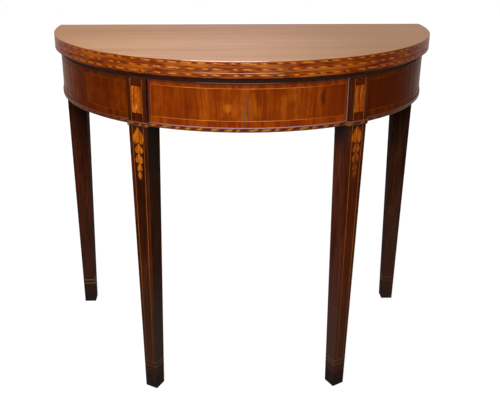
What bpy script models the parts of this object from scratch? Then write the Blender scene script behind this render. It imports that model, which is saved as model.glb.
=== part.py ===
"""A demilune fold-over card table with double gate-leg action, in metres, +Z up.

The plan is drawn about the centre of the top's half circle, with the front toward -Y.
Angles in plan are counted from the front, positive toward +X. An empty carries the whole
table, so that the middle of its outer box stands over the origin.
"""
import math

import bmesh
import bpy

# Whole table
HEIGHT = 0.745
TOP_RADIUS = 0.4336
TOP_STILT = 0.0246
GAP = 0.0003
CUT_OVERRUN = 0.004

# Table leaves
LEAF_THICKNESS = 0.021
LEAF_GAP = 0.0004
LEAF_ARRIS = 0.0008
LIP_HEIGHT = 0.0100
LIP_OVERHANG = 0.0154
EDGE_BANDING_HEIGHT = 0.0040
EDGE_BANDING_DEPTH = 0.0020
TOP_BANDING_DROP = 0.0042
FOOT_BANDING_RISE = 0.0062
LIP_BANDING_DROP = 0.0048

# Curved apron
OVERHANG = 0.0124
APRON_HEIGHT = 0.0937
CORE_THICKNESS = 0.020
VENEER_THICKNESS = 0.0015
APRON_BAND_HEIGHT = 0.0090
APRON_BAND_PROUD = 0.0020
APRON_BAND_ARRIS = 0.0008

# Front legs, whose tops are the stiles between the bays
FRONT_LEG_ANGLE = math.radians(29.55)
FRONT_LEG_SIZE = 0.0436
FRONT_FOOT_SIZE = 0.0293
STILE_PROUD = 0.0094
LEG_ARRIS = 0.0008
PANEL_WIDTH = 0.0225
PANEL_HEIGHT = 0.0520
PANEL_DROP = 0.0155
PANEL_THICKNESS = 0.0015

# Rear legs and the fly rails that carry them
REAR_LEG_SIZE = 0.0444
REAR_FOOT_SIZE = 0.0289
REAR_LEG_INSET = 0.0015
FLY_RAIL_THICKNESS = 0.020
FLY_RAIL_RISE = 0.0040
FLY_RAIL_DROP = 0.0008
FLY_RAIL_ARRIS = 0.0008
GATE_AXIS_X = 0.080
KNUCKLE_FINGERS = 5
KNUCKLE_PIN_RADIUS = 0.0025
KNUCKLE_CLEARANCE = 0.0003

# Joints inside the frame
TENON_THICKNESS = 0.008
TENON_LENGTH = 0.016
TENON_SHOULDER = 0.014
FLY_TENON_LENGTH = 0.026
REAR_RAIL_THICKNESS = 0.020
DOVETAIL_COUNT = 3
DOVETAIL_ROOT_HEIGHT = 0.013
DOVETAIL_TIP_HEIGHT = 0.018
BRACE_THICKNESS = 0.020
BRACE_HEIGHT = 0.040
BRACE_RISE = 0.006
BRACE_HOUSING = 0.008
BLOCK_HEIGHT = 0.070
BLOCK_DROP = 0.008
FRONT_BLOCK_WIDTH = 0.022
FRONT_BLOCK_DEPTH = 0.015
REAR_BLOCK_SIZE = 0.030

# Brass hinges on the leaves' back edges
HINGE_INSET = 0.1336
HINGE_LENGTH = 0.051
HINGE_PLATE_HEIGHT = 0.0095
HINGE_PLATE_THICKNESS = 0.0018
HINGE_BARREL_RADIUS = 0.0032
HINGE_PIN_RADIUS = 0.0012
HINGE_KNUCKLES = 3

# Facets
HALF_CIRCLE_STEPS = 48
CENTRE_BAY_STEPS = 14
SIDE_BAY_STEPS = 15
ROUND_STEPS = 24
PIN_STEPS = 12
SMOOTH_ANGLE = math.radians(30)

# Levels and lines that follow from the sizes above
JOINT_Z = HEIGHT - LEAF_THICKNESS
LEAF_FOOT_Z = JOINT_Z - LEAF_THICKNESS
LEAF_BACK = TOP_STILT - LEAF_GAP / 2
HINGE_X = TOP_RADIUS - HINGE_INSET
APRON_TOP = LEAF_FOOT_Z - GAP
APRON_FOOT = APRON_TOP - APRON_HEIGHT
APRON_RADIUS = TOP_RADIUS - OVERHANG
CORE_OUTER = APRON_RADIUS - VENEER_THICKNESS - GAP
CORE_INNER = CORE_OUTER - CORE_THICKNESS
FRONT_LEG_FACE = APRON_RADIUS + STILE_PROUD
FRONT_LEG_RADIUS = FRONT_LEG_FACE - FRONT_LEG_SIZE / 2
GATE_AXIS_Y = TOP_STILT - REAR_LEG_INSET - FLY_RAIL_THICKNESS / 2
FRAME_BACK = GATE_AXIS_Y - FLY_RAIL_THICKNESS / 2 - GAP
REAR_RAIL_FRONT = FRAME_BACK - REAR_RAIL_THICKNESS
FLY_TOP = LEAF_FOOT_Z - FLY_RAIL_DROP
FLY_FOOT = APRON_FOOT + FLY_RAIL_RISE
REAR_LEG_BACK = GATE_AXIS_Y + FLY_RAIL_THICKNESS / 2
REAR_LEG_INNER = APRON_RADIUS - REAR_LEG_SIZE
DEPTH_MIDDLE = (TOP_STILT + HINGE_BARREL_RADIUS - TOP_RADIUS) / 2


# Materials


def finish(name, colour, roughness, metallic=0.0):
    """A plain Principled material of one colour."""
    material = bpy.data.materials.new(name)
    material.use_nodes = True
    shader = material.node_tree.nodes["Principled BSDF"]
    shader.inputs["Base Color"].default_value = (*colour, 1.0)
    shader.inputs["Roughness"].default_value = roughness
    shader.inputs["Metallic"].default_value = metallic
    material.diffuse_color = (*colour, 1.0)
    return material


def make_finishes():
    """Every finish that the table shows."""
    return {
        "top": finish("polished_mahogany_top", (0.48, 0.25, 0.12), 0.18),
        "bay": finish("figured_mahogany_veneer", (0.24, 0.045, 0.008), 0.25),
        "leg": finish("dark_mahogany", (0.075, 0.018, 0.008), 0.3),
        "rope": finish("rope_banding", (0.42, 0.16, 0.04), 0.3),
        "light": finish("satinwood_inlay", (0.52, 0.20, 0.035), 0.3),
        "core": finish("pine_core", (0.50, 0.34, 0.18), 0.7),
        "fly": finish("oak_fly_rail", (0.26, 0.15, 0.07), 0.6),
        "brass": finish("aged_brass", (0.55, 0.38, 0.14), 0.35, 1.0),
        "steel": finish("steel_pin", (0.35, 0.34, 0.32), 0.4, 1.0),
    }


# Solids


def solid(name, points, faces, material=None):
    """A closed mesh object from its points and faces, with its faces turned outward."""
    mesh = bpy.data.meshes.new(name)
    mesh.from_pydata(points, [], faces)
    shape = bmesh.new()
    shape.from_mesh(mesh)
    bmesh.ops.recalc_face_normals(shape, faces=shape.faces)
    shape.to_mesh(mesh)
    shape.free()
    made = bpy.data.objects.new(name, mesh)
    bpy.context.scene.collection.objects.link(made)
    if material:
        mesh.materials.append(material)
    return made


def prism(name, outline, low, high, material=None):
    """An upright solid with the given plan outline."""
    count = len(outline)
    points = [(x, y, z) for z in (low, high) for x, y in outline]
    faces = [list(range(count)), list(range(count, 2 * count))]
    for index in range(count):
        after = (index + 1) % count
        faces.append((index, after, count + after, count + index))
    return solid(name, points, faces, material)


def block(name, low, high, material=None):
    """A rectangular solid between two opposite corners."""
    outline = [(low[0], low[1]), (high[0], low[1]), (high[0], high[1]), (low[0], high[1])]
    return prism(name, outline, low[2], high[2], material)


def swept_board(name, profile, path, material):
    """A board whose edge profile of (radius, height) follows a path, with a straight back."""
    rows = [[(x, y, z) for x, y in path(radius)] for radius, z in profile]
    count = len(rows[0])
    last = len(rows) - 1
    points = [point for row in rows for point in row]
    faces = [list(range(count)), [last * count + step for step in range(count)]]
    for row in range(last):
        for step in range(count - 1):
            corner = row * count + step
            faces.append((corner, corner + 1, corner + 1 + count, corner + count))
    left = [row * count for row in range(last + 1)]
    right = [row * count + count - 1 for row in range(last + 1)]
    faces.append(left + right[::-1])
    return solid(name, points, faces, material)


def swept_strip(name, section, path, material):
    """A strip whose closed section of (radius, height) follows a path."""
    rows = [[(x, y, z) for x, y in path(radius)] for radius, z in section]
    count = len(rows[0])
    sides = len(rows)
    points = [point for row in rows for point in row]
    faces = []
    for row in range(sides):
        after = (row + 1) % sides
        for step in range(count - 1):
            faces.append((row * count + step, row * count + step + 1,
                          after * count + step + 1, after * count + step))
    faces.append([row * count for row in range(sides)])
    faces.append([row * count + count - 1 for row in range(sides)])
    return solid(name, points, faces, material)


def rod(name, radius, low, high, steps, material=None):
    """An upright round rod on the origin."""
    turns = [2 * math.pi * step / steps for step in range(steps)]
    outline = [(radius * math.cos(turn), radius * math.sin(turn)) for turn in turns]
    return prism(name, outline, low, high, material)


def place(made, x=0.0, y=0.0, z=0.0, turn=0.0):
    """Put an object at a place in plan, turned about the vertical."""
    made.location = (x, y, z)
    made.rotation_euler = (0.0, 0.0, turn)
    return made


def lay_along_x(made, x, y, z):
    """Lay an upright rod along X, centred on a point."""
    made.rotation_euler = (0.0, math.pi / 2, 0.0)
    made.location = (x, y, z)
    return made


def combine(made, tools, operation):
    """Cut tools from an object, or weld them to it, and discard the tools."""
    for tool in tools:
        change = made.modifiers.new(operation.lower(), "BOOLEAN")
        change.operation = operation
        change.solver = "EXACT"
        change.object = tool
    bpy.context.view_layer.update()
    graph = bpy.context.evaluated_depsgraph_get()
    mesh = bpy.data.meshes.new_from_object(made.evaluated_get(graph))
    mesh.name = made.name
    made.modifiers.clear()
    made.data = mesh
    for tool in tools:
        bpy.data.objects.remove(tool)
    return made


def cut(made, *tools):
    return combine(made, tools, "DIFFERENCE")


def weld(made, *tools):
    return combine(made, tools, "UNION")


def soften(made):
    """Smooth shading that keeps the corners sharp."""
    made.data.shade_smooth()
    made.data.set_sharp_from_angle(angle=SMOOTH_ANGLE)
    return made


# Paths in plan


def on_circle(radius, angle):
    """The point at a radius and an angle counted from the front."""
    return (radius * math.sin(angle), -radius * math.cos(angle))


def arc(radius, first, last, steps):
    """Points of an arc from one angle to another."""
    return [on_circle(radius, first + (last - first) * step / steps) for step in range(steps + 1)]


def leaf_path(radius):
    """The half circle with its short straight returns to the back edge."""
    half = arc(radius, -math.pi / 2, math.pi / 2, HALF_CIRCLE_STEPS)
    return [(-radius, LEAF_BACK), *half, (radius, LEAF_BACK)]


def leg_side_angle(radius, side, toward):
    """Where a circle meets the side of a front leg, a gap away from it."""
    return side * FRONT_LEG_ANGLE + toward * math.asin((FRONT_LEG_SIZE / 2 + GAP) / radius)


def centre_bay_path(radius):
    """The arc between the two front legs."""
    end = leg_side_angle(radius, 1, -1)
    return arc(radius, -end, end, CENTRE_BAY_STEPS)


def side_bay_path(side):
    """The arc from a front leg to the back of the frame, on one side."""
    def path(radius):
        start = leg_side_angle(radius, side, side)
        end = side * math.acos(-FRAME_BACK / radius)
        return arc(radius, start, end, SIDE_BAY_STEPS)
    return path


def chamfered_square(left, right, front, back, arris):
    """A rectangle in plan with its four corners taken off."""
    return [(left + arris, front), (right - arris, front), (right, front + arris),
            (right, back - arris), (right - arris, back), (left + arris, back),
            (left, back - arris), (left, front + arris)]


def lofted_leg(name, levels, material):
    """A leg through plan outlines of equal count, each at its own height."""
    count = len(levels[0][0])
    points = [(x, y, z) for outline, z in levels for x, y in outline]
    faces = [list(range(count)), [(len(levels) - 1) * count + step for step in range(count)]]
    for level in range(len(levels) - 1):
        for step in range(count):
            after = (step + 1) % count
            faces.append((level * count + step, level * count + after,
                          (level + 1) * count + after, (level + 1) * count + step))
    return solid(name, points, faces, material)


# The two leaves and the bandings let into their edges


def groove(middle):
    """The profile of one banding groove in a leaf's edge, from its foot to its top."""
    low = middle - EDGE_BANDING_HEIGHT / 2
    high = middle + EDGE_BANDING_HEIGHT / 2
    floor = TOP_RADIUS - EDGE_BANDING_DEPTH
    return [(TOP_RADIUS, low), (floor, low), (floor, high), (TOP_RADIUS, high)]


def edge_banding(name, middle, finishes):
    """A rope banding that fills a groove in a leaf's edge, flush with it."""
    low = middle - EDGE_BANDING_HEIGHT / 2 + GAP
    high = middle + EDGE_BANDING_HEIGHT / 2 - GAP
    floor = TOP_RADIUS - EDGE_BANDING_DEPTH + GAP
    section = [(floor, low), (TOP_RADIUS, low), (TOP_RADIUS, high), (floor, high)]
    return soften(swept_strip(name, section, leaf_path, finishes["rope"]))


def leaf_hinge_cutters():
    """What both leaves lose to the hinges: the round of the barrels, laid along X."""
    return [lay_along_x(rod("barrel_cut", HINGE_BARREL_RADIUS + GAP, -HINGE_LENGTH / 2 - GAP,
                            HINGE_LENGTH / 2 + GAP, ROUND_STEPS), side * HINGE_X, TOP_STILT, JOINT_Z)
            for side in (-1, 1)]


def plate_mortises(low, high):
    """The shallow beds of the hinge plates in a leaf's back edge."""
    half = HINGE_LENGTH / 2 + GAP
    bed = LEAF_BACK - HINGE_PLATE_THICKNESS - GAP
    return [block("plate_bed", (side * HINGE_X - half, bed, low - GAP),
                  (side * HINGE_X + half, LEAF_BACK + CUT_OVERRUN, high + GAP))
            for side in (-1, 1)]


def make_upper_leaf(finishes):
    """The leaf that folds back, with two rope bandings in its edge."""
    foot = JOINT_Z + LEAF_GAP / 2
    low_middle = JOINT_Z + FOOT_BANDING_RISE
    high_middle = HEIGHT - TOP_BANDING_DROP
    profile = [(TOP_RADIUS, foot), *groove(low_middle), *groove(high_middle),
               (TOP_RADIUS, HEIGHT - LEAF_ARRIS), (TOP_RADIUS - LEAF_ARRIS, HEIGHT)]
    leaf = swept_board("upper_leaf", profile, leaf_path, finishes["top"])
    cut(leaf, *leaf_hinge_cutters())
    cut(leaf, *plate_mortises(foot - CUT_OVERRUN, JOINT_Z + HINGE_PLATE_HEIGHT))
    return [soften(leaf), edge_banding("upper_leaf_top_banding", high_middle, finishes),
            edge_banding("upper_leaf_foot_banding", low_middle, finishes)]


def make_lower_leaf(finishes):
    """The fixed leaf, whose lower half is set back under a banded lip."""
    top = JOINT_Z - LEAF_GAP / 2
    middle = JOINT_Z - LIP_BANDING_DROP
    lip_foot = JOINT_Z - LIP_HEIGHT
    profile = [(TOP_RADIUS - LIP_OVERHANG, LEAF_FOOT_Z), (TOP_RADIUS - LIP_OVERHANG, lip_foot),
               (TOP_RADIUS, lip_foot), *groove(middle), (TOP_RADIUS, top - LEAF_ARRIS),
               (TOP_RADIUS - LEAF_ARRIS, top)]
    leaf = swept_board("lower_leaf", profile, leaf_path, finishes["top"])
    cut(leaf, *leaf_hinge_cutters())
    cut(leaf, *plate_mortises(JOINT_Z - HINGE_PLATE_HEIGHT, top + CUT_OVERRUN))
    return [soften(leaf), edge_banding("lower_leaf_banding", middle, finishes)]


# Hinges


def hinge_knuckle(index, radius, extra=0.0):
    """One knuckle of a hinge barrel, or the room for it, about the hinge's own middle."""
    pitch = HINGE_LENGTH / HINGE_KNUCKLES
    low = -HINGE_LENGTH / 2 + index * pitch
    clear = GAP / 2 - extra
    return rod("knuckle", radius, low + clear, low + pitch - clear, ROUND_STEPS)


def hinge_plate(name, side, up, finishes):
    """One brass plate with its own knuckles: the lower has the outer two, the upper the middle."""
    x = side * HINGE_X
    half = HINGE_LENGTH / 2
    near = JOINT_Z + up * GAP
    far = JOINT_Z + up * HINGE_PLATE_HEIGHT
    own = [index for index in range(HINGE_KNUCKLES) if (index % 2 == 1) == (up > 0)]
    others = [index for index in range(HINGE_KNUCKLES) if index not in own]
    plate = block(name, (x - half, LEAF_BACK - HINGE_PLATE_THICKNESS, min(near, far)),
                  (x + half, LEAF_BACK, max(near, far)), finishes["brass"])
    rooms = [hinge_knuckle(index, HINGE_BARREL_RADIUS + GAP, GAP) for index in others]
    cut(plate, *[lay_along_x(room, x, TOP_STILT, JOINT_Z) for room in rooms])
    knuckles = [hinge_knuckle(index, HINGE_BARREL_RADIUS) for index in own]
    weld(plate, *[lay_along_x(knuckle, x, TOP_STILT, JOINT_Z) for knuckle in knuckles])
    bore = rod("bore", HINGE_PIN_RADIUS + GAP, -half - CUT_OVERRUN, half + CUT_OVERRUN, PIN_STEPS)
    cut(plate, lay_along_x(bore, x, TOP_STILT, JOINT_Z))
    return soften(plate)


def hinge_pin(name, side, finishes):
    """The pin through one hinge's knuckles."""
    pin = rod(name, HINGE_PIN_RADIUS, -HINGE_LENGTH / 2, HINGE_LENGTH / 2, PIN_STEPS,
              finishes["steel"])
    return soften(lay_along_x(pin, side * HINGE_X, TOP_STILT, JOINT_Z))


# Curved apron


def rail_section(low, high):
    return [(CORE_INNER, low), (CORE_OUTER, low), (CORE_OUTER, high), (CORE_INNER, high)]


def tenon_at(side, toward, grow=0.0):
    """The tenon of a core rail in a front leg's side, or with grow its mortise."""
    middle = (CORE_INNER + CORE_OUTER) / 2
    near = FRONT_LEG_SIZE / 2 - TENON_LENGTH - grow
    far = FRONT_LEG_SIZE / 2 + CUT_OVERRUN
    left, right = (near, far) if toward > 0 else (-far, -near)
    half = TENON_THICKNESS / 2 + grow
    tenon = block("tenon", (left, -half, APRON_FOOT + TENON_SHOULDER - grow),
                  (right, half, APRON_TOP - TENON_SHOULDER + grow))
    x, y = on_circle(middle, side * FRONT_LEG_ANGLE)
    return place(tenon, x, y, turn=side * FRONT_LEG_ANGLE)


def brace_end_room(y_low, y_high):
    """The housing that takes an end of the centre brace."""
    half = BRACE_THICKNESS / 2 + GAP
    low = APRON_FOOT + BRACE_RISE - GAP
    return block("housing", (-half, y_low, low), (half, y_high, low + BRACE_HEIGHT + 2 * GAP))


def make_centre_rail(finishes):
    """The core of the centre bay, tenoned into both front legs."""
    rail = swept_strip("core_rail_centre", rail_section(APRON_FOOT, APRON_TOP), centre_bay_path,
                       finishes["core"])
    weld(rail, tenon_at(1, -1), tenon_at(-1, 1))
    inner = -CORE_INNER
    cut(rail, brace_end_room(inner - BRACE_HOUSING - GAP, inner + CUT_OVERRUN))
    return soften(rail)


def dovetails(side, grow=0.0):
    """The tails on one end of the rear rail, or with grow their sockets in the side rail."""
    root = math.sqrt(CORE_INNER ** 2 - REAR_RAIL_FRONT ** 2) - CUT_OVERRUN
    tip = math.sqrt(CORE_OUTER ** 2 - REAR_RAIL_FRONT ** 2) - GAP
    if grow:
        tip = APRON_RADIUS
    spread = (DOVETAIL_TIP_HEIGHT - DOVETAIL_ROOT_HEIGHT) / 2
    slope = spread / (CORE_THICKNESS + CUT_OVERRUN)
    pitch = APRON_HEIGHT / DOVETAIL_COUNT
    front = REAR_RAIL_FRONT - grow
    back = FRAME_BACK + (CUT_OVERRUN if grow else 0.0)
    tails = []
    for index in range(DOVETAIL_COUNT):
        middle = APRON_FOOT + pitch * (index + 0.5)
        near = DOVETAIL_ROOT_HEIGHT / 2 + grow
        far = near + slope * (tip - root)
        points = [(side * x, y, middle + rise)
                  for y in (front, back)
                  for x, rise in ((root, -near), (tip, -far), (tip, far), (root, near))]
        faces = [(0, 1, 2, 3), (4, 5, 6, 7), (0, 1, 5, 4), (1, 2, 6, 5), (2, 3, 7, 6),
                 (3, 0, 4, 7)]
        tails.append(solid("tail", points, faces))
    return tails


def make_side_rail(name, side, finishes):
    """The core of a side bay, tenoned into its front leg and dovetailed to the rear rail."""
    rail = swept_strip(name, rail_section(APRON_FOOT, APRON_TOP), side_bay_path(side),
                       finishes["core"])
    weld(rail, tenon_at(side, side))
    cut(rail, *dovetails(side, GAP))
    return soften(rail)


def make_rear_rail(finishes):
    """The straight rail across the back of the frame, with its dovetailed ends."""
    end = math.sqrt(CORE_INNER ** 2 - REAR_RAIL_FRONT ** 2) - 2 * GAP
    rail = block("rear_rail", (-end, REAR_RAIL_FRONT, APRON_FOOT), (end, FRAME_BACK, APRON_TOP),
                 finishes["core"])
    weld(rail, *dovetails(1), *dovetails(-1))
    cut(rail, brace_end_room(REAR_RAIL_FRONT - CUT_OVERRUN, REAR_RAIL_FRONT + BRACE_HOUSING + GAP))
    return rail


def bay_pieces(label, path, finishes):
    """The figured veneer of one bay and the rope banding along its foot."""
    inner = APRON_RADIUS - VENEER_THICKNESS
    band_top = APRON_FOOT + APRON_BAND_HEIGHT
    veneer = [(inner, band_top + GAP), (APRON_RADIUS, band_top + GAP), (APRON_RADIUS, APRON_TOP),
              (inner, APRON_TOP)]
    proud = APRON_RADIUS + APRON_BAND_PROUD
    band = [(inner, APRON_FOOT), (proud - APRON_BAND_ARRIS, APRON_FOOT),
            (proud, APRON_FOOT + APRON_BAND_ARRIS), (proud, band_top - APRON_BAND_ARRIS),
            (proud - APRON_BAND_ARRIS, band_top), (inner, band_top)]
    return [soften(swept_strip("bay_veneer_" + label, veneer, path, finishes["bay"])),
            soften(swept_strip("apron_band_" + label, band, path, finishes["rope"]))]


def make_brace(finishes):
    """The brace from the middle of the front rail to the middle of the rear rail."""
    half = BRACE_THICKNESS / 2
    low = APRON_FOOT + BRACE_RISE
    front = -CORE_INNER - BRACE_HOUSING
    back = REAR_RAIL_FRONT + BRACE_HOUSING
    return block("centre_brace", (-half, front, low), (half, back, low + BRACE_HEIGHT),
                 finishes["core"])


def make_front_block(name, side, toward, finishes):
    """A glue block in the corner between a front leg's side and a core rail."""
    radius = CORE_INNER - 2 * GAP
    near = FRONT_LEG_SIZE / 2 + GAP
    far = near + FRONT_BLOCK_WIDTH
    shares = (0.0, 0.5, 1.0)
    widths = [near + (far - near) * share for share in shares]
    outline = [(toward * width, -math.sqrt(radius ** 2 - width ** 2)) for width in widths]
    outline.append((toward * near, -radius + FRONT_BLOCK_DEPTH))
    top = APRON_TOP - BLOCK_DROP
    made = prism(name, outline, top - BLOCK_HEIGHT, top, finishes["core"])
    return place(made, turn=side * FRONT_LEG_ANGLE)


def make_rear_block(name, side, finishes):
    """A glue block in the corner between a side rail and the rear rail."""
    radius = CORE_INNER - 2 * GAP
    y_near = REAR_RAIL_FRONT - GAP
    y_far = y_near - REAR_BLOCK_SIZE
    outline = [(side * math.sqrt(radius ** 2 - y ** 2), y) for y in (y_near, y_far)]
    outline.append((outline[0][0] - side * REAR_BLOCK_SIZE, y_near))
    top = APRON_TOP - BLOCK_DROP
    return prism(name, outline, top - BLOCK_HEIGHT, top, finishes["core"])


# Front legs


def make_front_leg(label, side, finishes):
    """A front leg, its inlaid stile panel and the banding across its stile."""
    half = FRONT_LEG_SIZE / 2
    foot = FRONT_FOOT_SIZE / 2
    square = chamfered_square(-half, half, -half, half, LEG_ARRIS)
    toe = chamfered_square(-foot, foot, -foot, foot, LEG_ARRIS)
    leg = lofted_leg("front_leg_" + label, [(toe, 0.0), (square, APRON_FOOT), (square, APRON_TOP)],
                     finishes["leg"])
    angle = side * FRONT_LEG_ANGLE
    x, y = on_circle(FRONT_LEG_RADIUS, angle)
    place(leg, x, y, turn=angle)
    high = APRON_TOP - PANEL_DROP
    low = high - PANEL_HEIGHT
    wide = PANEL_WIDTH / 2
    bed = block("bed", (-wide - GAP, -half - CUT_OVERRUN, low - GAP),
                (wide + GAP, -half + PANEL_THICKNESS + GAP, high + GAP))
    cut(leg, tenon_at(side, 1, GAP), tenon_at(side, -1, GAP), place(bed, x, y, turn=angle))
    panel = block("stile_panel_" + label, (-wide, -half, low), (wide, -half + PANEL_THICKNESS, high),
                  finishes["light"])
    place(panel, x, y, turn=angle)
    return [leg, panel, stile_band("stile_band_" + label, angle, finishes)]


def stile_band(name, angle, finishes):
    """The rope banding across a stile, returned along the stile's two sides."""
    half = FRONT_LEG_SIZE / 2
    inner = half + GAP
    outer = half + APRON_BAND_PROUD
    end = -APRON_RADIUS - APRON_BAND_PROUD - GAP
    face = -FRONT_LEG_FACE - GAP
    proud = -FRONT_LEG_FACE - APRON_BAND_PROUD
    arris = APRON_BAND_ARRIS
    outline = [(-outer, end), (-outer, proud + arris), (-outer + arris, proud),
               (outer - arris, proud), (outer, proud + arris), (outer, end), (inner, end),
               (inner, face), (-inner, face), (-inner, end)]
    made = prism(name, outline, APRON_FOOT, APRON_FOOT + APRON_BAND_HEIGHT, finishes["rope"])
    return place(made, turn=angle)


# Fly rails, their knuckles and the rear legs


def finger_span(index):
    """The lowest and highest level of one finger of the wooden knuckle."""
    pitch = (FLY_TOP - FLY_FOOT) / KNUCKLE_FINGERS
    return FLY_FOOT + index * pitch, FLY_FOOT + (index + 1) * pitch


def stop_bevel(outward):
    """The wedge past a 45 degree line at the axis, where a rail toward outward is cut back."""
    reach = FLY_RAIL_THICKNESS / 2 + CUT_OVERRUN
    outline = [(outward * KNUCKLE_CLEARANCE, 0.0), (outward * (reach + KNUCKLE_CLEARANCE), reach),
               (-outward * reach, reach), (-outward * reach, 0.0)]
    return prism("bevel", outline, FLY_FOOT - CUT_OVERRUN, FLY_TOP + CUT_OVERRUN)


def finger_hollow(index):
    """The round space in one half of the knuckle for a finger of the other half."""
    low, high = finger_span(index)
    low -= CUT_OVERRUN if index == 0 else KNUCKLE_CLEARANCE / 2
    high += CUT_OVERRUN if index == KNUCKLE_FINGERS - 1 else KNUCKLE_CLEARANCE / 2
    return rod("hollow", FLY_RAIL_THICKNESS / 2 + KNUCKLE_CLEARANCE, low, high, ROUND_STEPS)


def knuckle(made, side, fixed):
    """Shape the end of a rail at one gate axis into its half of a wooden knuckle joint.

    The end is rounded about the axis, bevelled toward the back so that the gate stops
    square to the frame, hollowed at the other half's fingers and bored for the pin.
    """
    outward = -side if fixed else side
    cut(made, place(stop_bevel(outward), side * GATE_AXIS_X, GATE_AXIS_Y))
    barrel = rod("barrel", FLY_RAIL_THICKNESS / 2, FLY_FOOT, FLY_TOP, ROUND_STEPS)
    weld(made, place(barrel, side * GATE_AXIS_X, GATE_AXIS_Y))
    others = [index for index in range(KNUCKLE_FINGERS) if (index % 2 == 1) == fixed]
    bore = rod("bore", KNUCKLE_PIN_RADIUS + KNUCKLE_CLEARANCE, FLY_FOOT - CUT_OVERRUN,
               FLY_TOP + CUT_OVERRUN, PIN_STEPS)
    tools = [*map(finger_hollow, others), bore]
    return cut(made, *[place(tool, side * GATE_AXIS_X, GATE_AXIS_Y) for tool in tools])


def make_knuckle_block(finishes):
    """The fixed block behind the rear rail that carries both gates."""
    half = FLY_RAIL_THICKNESS / 2
    made = block("knuckle_block", (-GATE_AXIS_X, GATE_AXIS_Y - half, FLY_FOOT),
                 (GATE_AXIS_X, GATE_AXIS_Y + half, FLY_TOP), finishes["fly"])
    knuckle(made, 1, True)
    knuckle(made, -1, True)
    return soften(made)


def fly_tenon(side, grow=0.0):
    """The tenon of a fly rail in its leg, or with grow its mortise."""
    half = TENON_THICKNESS / 2 + grow
    near = REAR_LEG_INNER - CUT_OVERRUN
    far = REAR_LEG_INNER + FLY_TENON_LENGTH + grow
    left, right = sorted((side * near, side * far))
    return block("tenon", (left, GATE_AXIS_Y - half, FLY_FOOT + TENON_SHOULDER - grow),
                 (right, GATE_AXIS_Y + half, FLY_TOP - TENON_SHOULDER + grow))


def make_fly_rail(name, side, finishes):
    """The swinging rail of one gate, from its knuckle to its leg."""
    half = FLY_RAIL_THICKNESS / 2
    left, right = sorted((side * GATE_AXIS_X, side * (REAR_LEG_INNER - GAP)))
    rail = block(name, (left, GATE_AXIS_Y - half, FLY_FOOT), (right, GATE_AXIS_Y + half, FLY_TOP),
                 finishes["fly"])
    weld(rail, fly_tenon(side))
    return soften(knuckle(rail, side, False))


def make_knuckle_pin(name, side, finishes):
    """The pin of one wooden knuckle."""
    pin = rod(name, KNUCKLE_PIN_RADIUS, FLY_FOOT, FLY_TOP, PIN_STEPS, finishes["steel"])
    return soften(place(pin, side * GATE_AXIS_X, GATE_AXIS_Y))


def make_rear_leg(name, side, finishes):
    """A rear leg, tapered on its two inner faces and notched to lie behind the frame."""
    outer = APRON_RADIUS
    levels = []
    for size, z in ((REAR_FOOT_SIZE, 0.0), (REAR_LEG_SIZE, APRON_FOOT), (REAR_LEG_SIZE, FLY_TOP)):
        left, right = sorted((side * outer, side * (outer - size)))
        outline = chamfered_square(left, right, REAR_LEG_BACK - size, REAR_LEG_BACK, LEG_ARRIS)
        levels.append((outline, z))
    leg = lofted_leg(name, levels, finishes["leg"])
    left, right = sorted((side * (outer + CUT_OVERRUN), side * (REAR_LEG_INNER - CUT_OVERRUN)))
    notch = block("notch", (left, REAR_LEG_BACK - REAR_LEG_SIZE - CUT_OVERRUN, APRON_FOOT - 2 * GAP),
                  (right, REAR_LEG_BACK - FLY_RAIL_THICKNESS, FLY_TOP + CUT_OVERRUN))
    return cut(leg, notch, fly_tenon(side, GAP))


# Assembly


def hang(pieces, parent, x=0.0, y=0.0, z=0.0):
    """Give pieces drawn in the table's frame an empty on their joint's axis as parent."""
    axis = bpy.data.objects.new(parent, None)
    bpy.context.scene.collection.objects.link(axis)
    axis.location = (x, y, z)
    for piece in pieces:
        piece.parent = axis
        piece.location = (piece.location.x - x, piece.location.y - y, piece.location.z - z)
    return axis


def build_table():
    finishes = make_finishes()
    sides = (("left", -1), ("right", 1))
    leaf_pieces = make_upper_leaf(finishes)
    frame_pieces = make_lower_leaf(finishes)
    for label, side in sides:
        leaf_pieces.append(hinge_plate("hinge_upper_" + label, side, 1, finishes))
        frame_pieces.append(hinge_plate("hinge_lower_" + label, side, -1, finishes))
        frame_pieces.append(hinge_pin("hinge_pin_" + label, side, finishes))
        frame_pieces.append(make_side_rail("core_rail_" + label, side, finishes))
        frame_pieces += bay_pieces(label, side_bay_path(side), finishes)
        frame_pieces += make_front_leg(label, side, finishes)
        frame_pieces.append(make_knuckle_pin("knuckle_pin_" + label, side, finishes))
        frame_pieces.append(make_rear_block("rear_glue_block_" + label, side, finishes))
        for place_name, toward in (("inner", -side), ("outer", side)):
            name = "glue_block_" + label + "_" + place_name
            frame_pieces.append(make_front_block(name, side, toward, finishes))
    frame_pieces += [make_centre_rail(finishes), *bay_pieces("centre", centre_bay_path, finishes),
                     make_rear_rail(finishes), make_brace(finishes), make_knuckle_block(finishes)]
    table = hang(frame_pieces, "table")
    hang(leaf_pieces, "leaf_hinge_axis", y=TOP_STILT, z=JOINT_Z).parent = table
    for label, side in sides:
        gate = [make_fly_rail("fly_rail_" + label, side, finishes),
                make_rear_leg("rear_leg_" + label, side, finishes)]
        hang(gate, "gate_axis_" + label, side * GATE_AXIS_X, GATE_AXIS_Y).parent = table
    table.location.y = -DEPTH_MIDDLE


for leftover in list(bpy.data.objects):
    bpy.data.objects.remove(leftover)
build_table()
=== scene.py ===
import math

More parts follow.
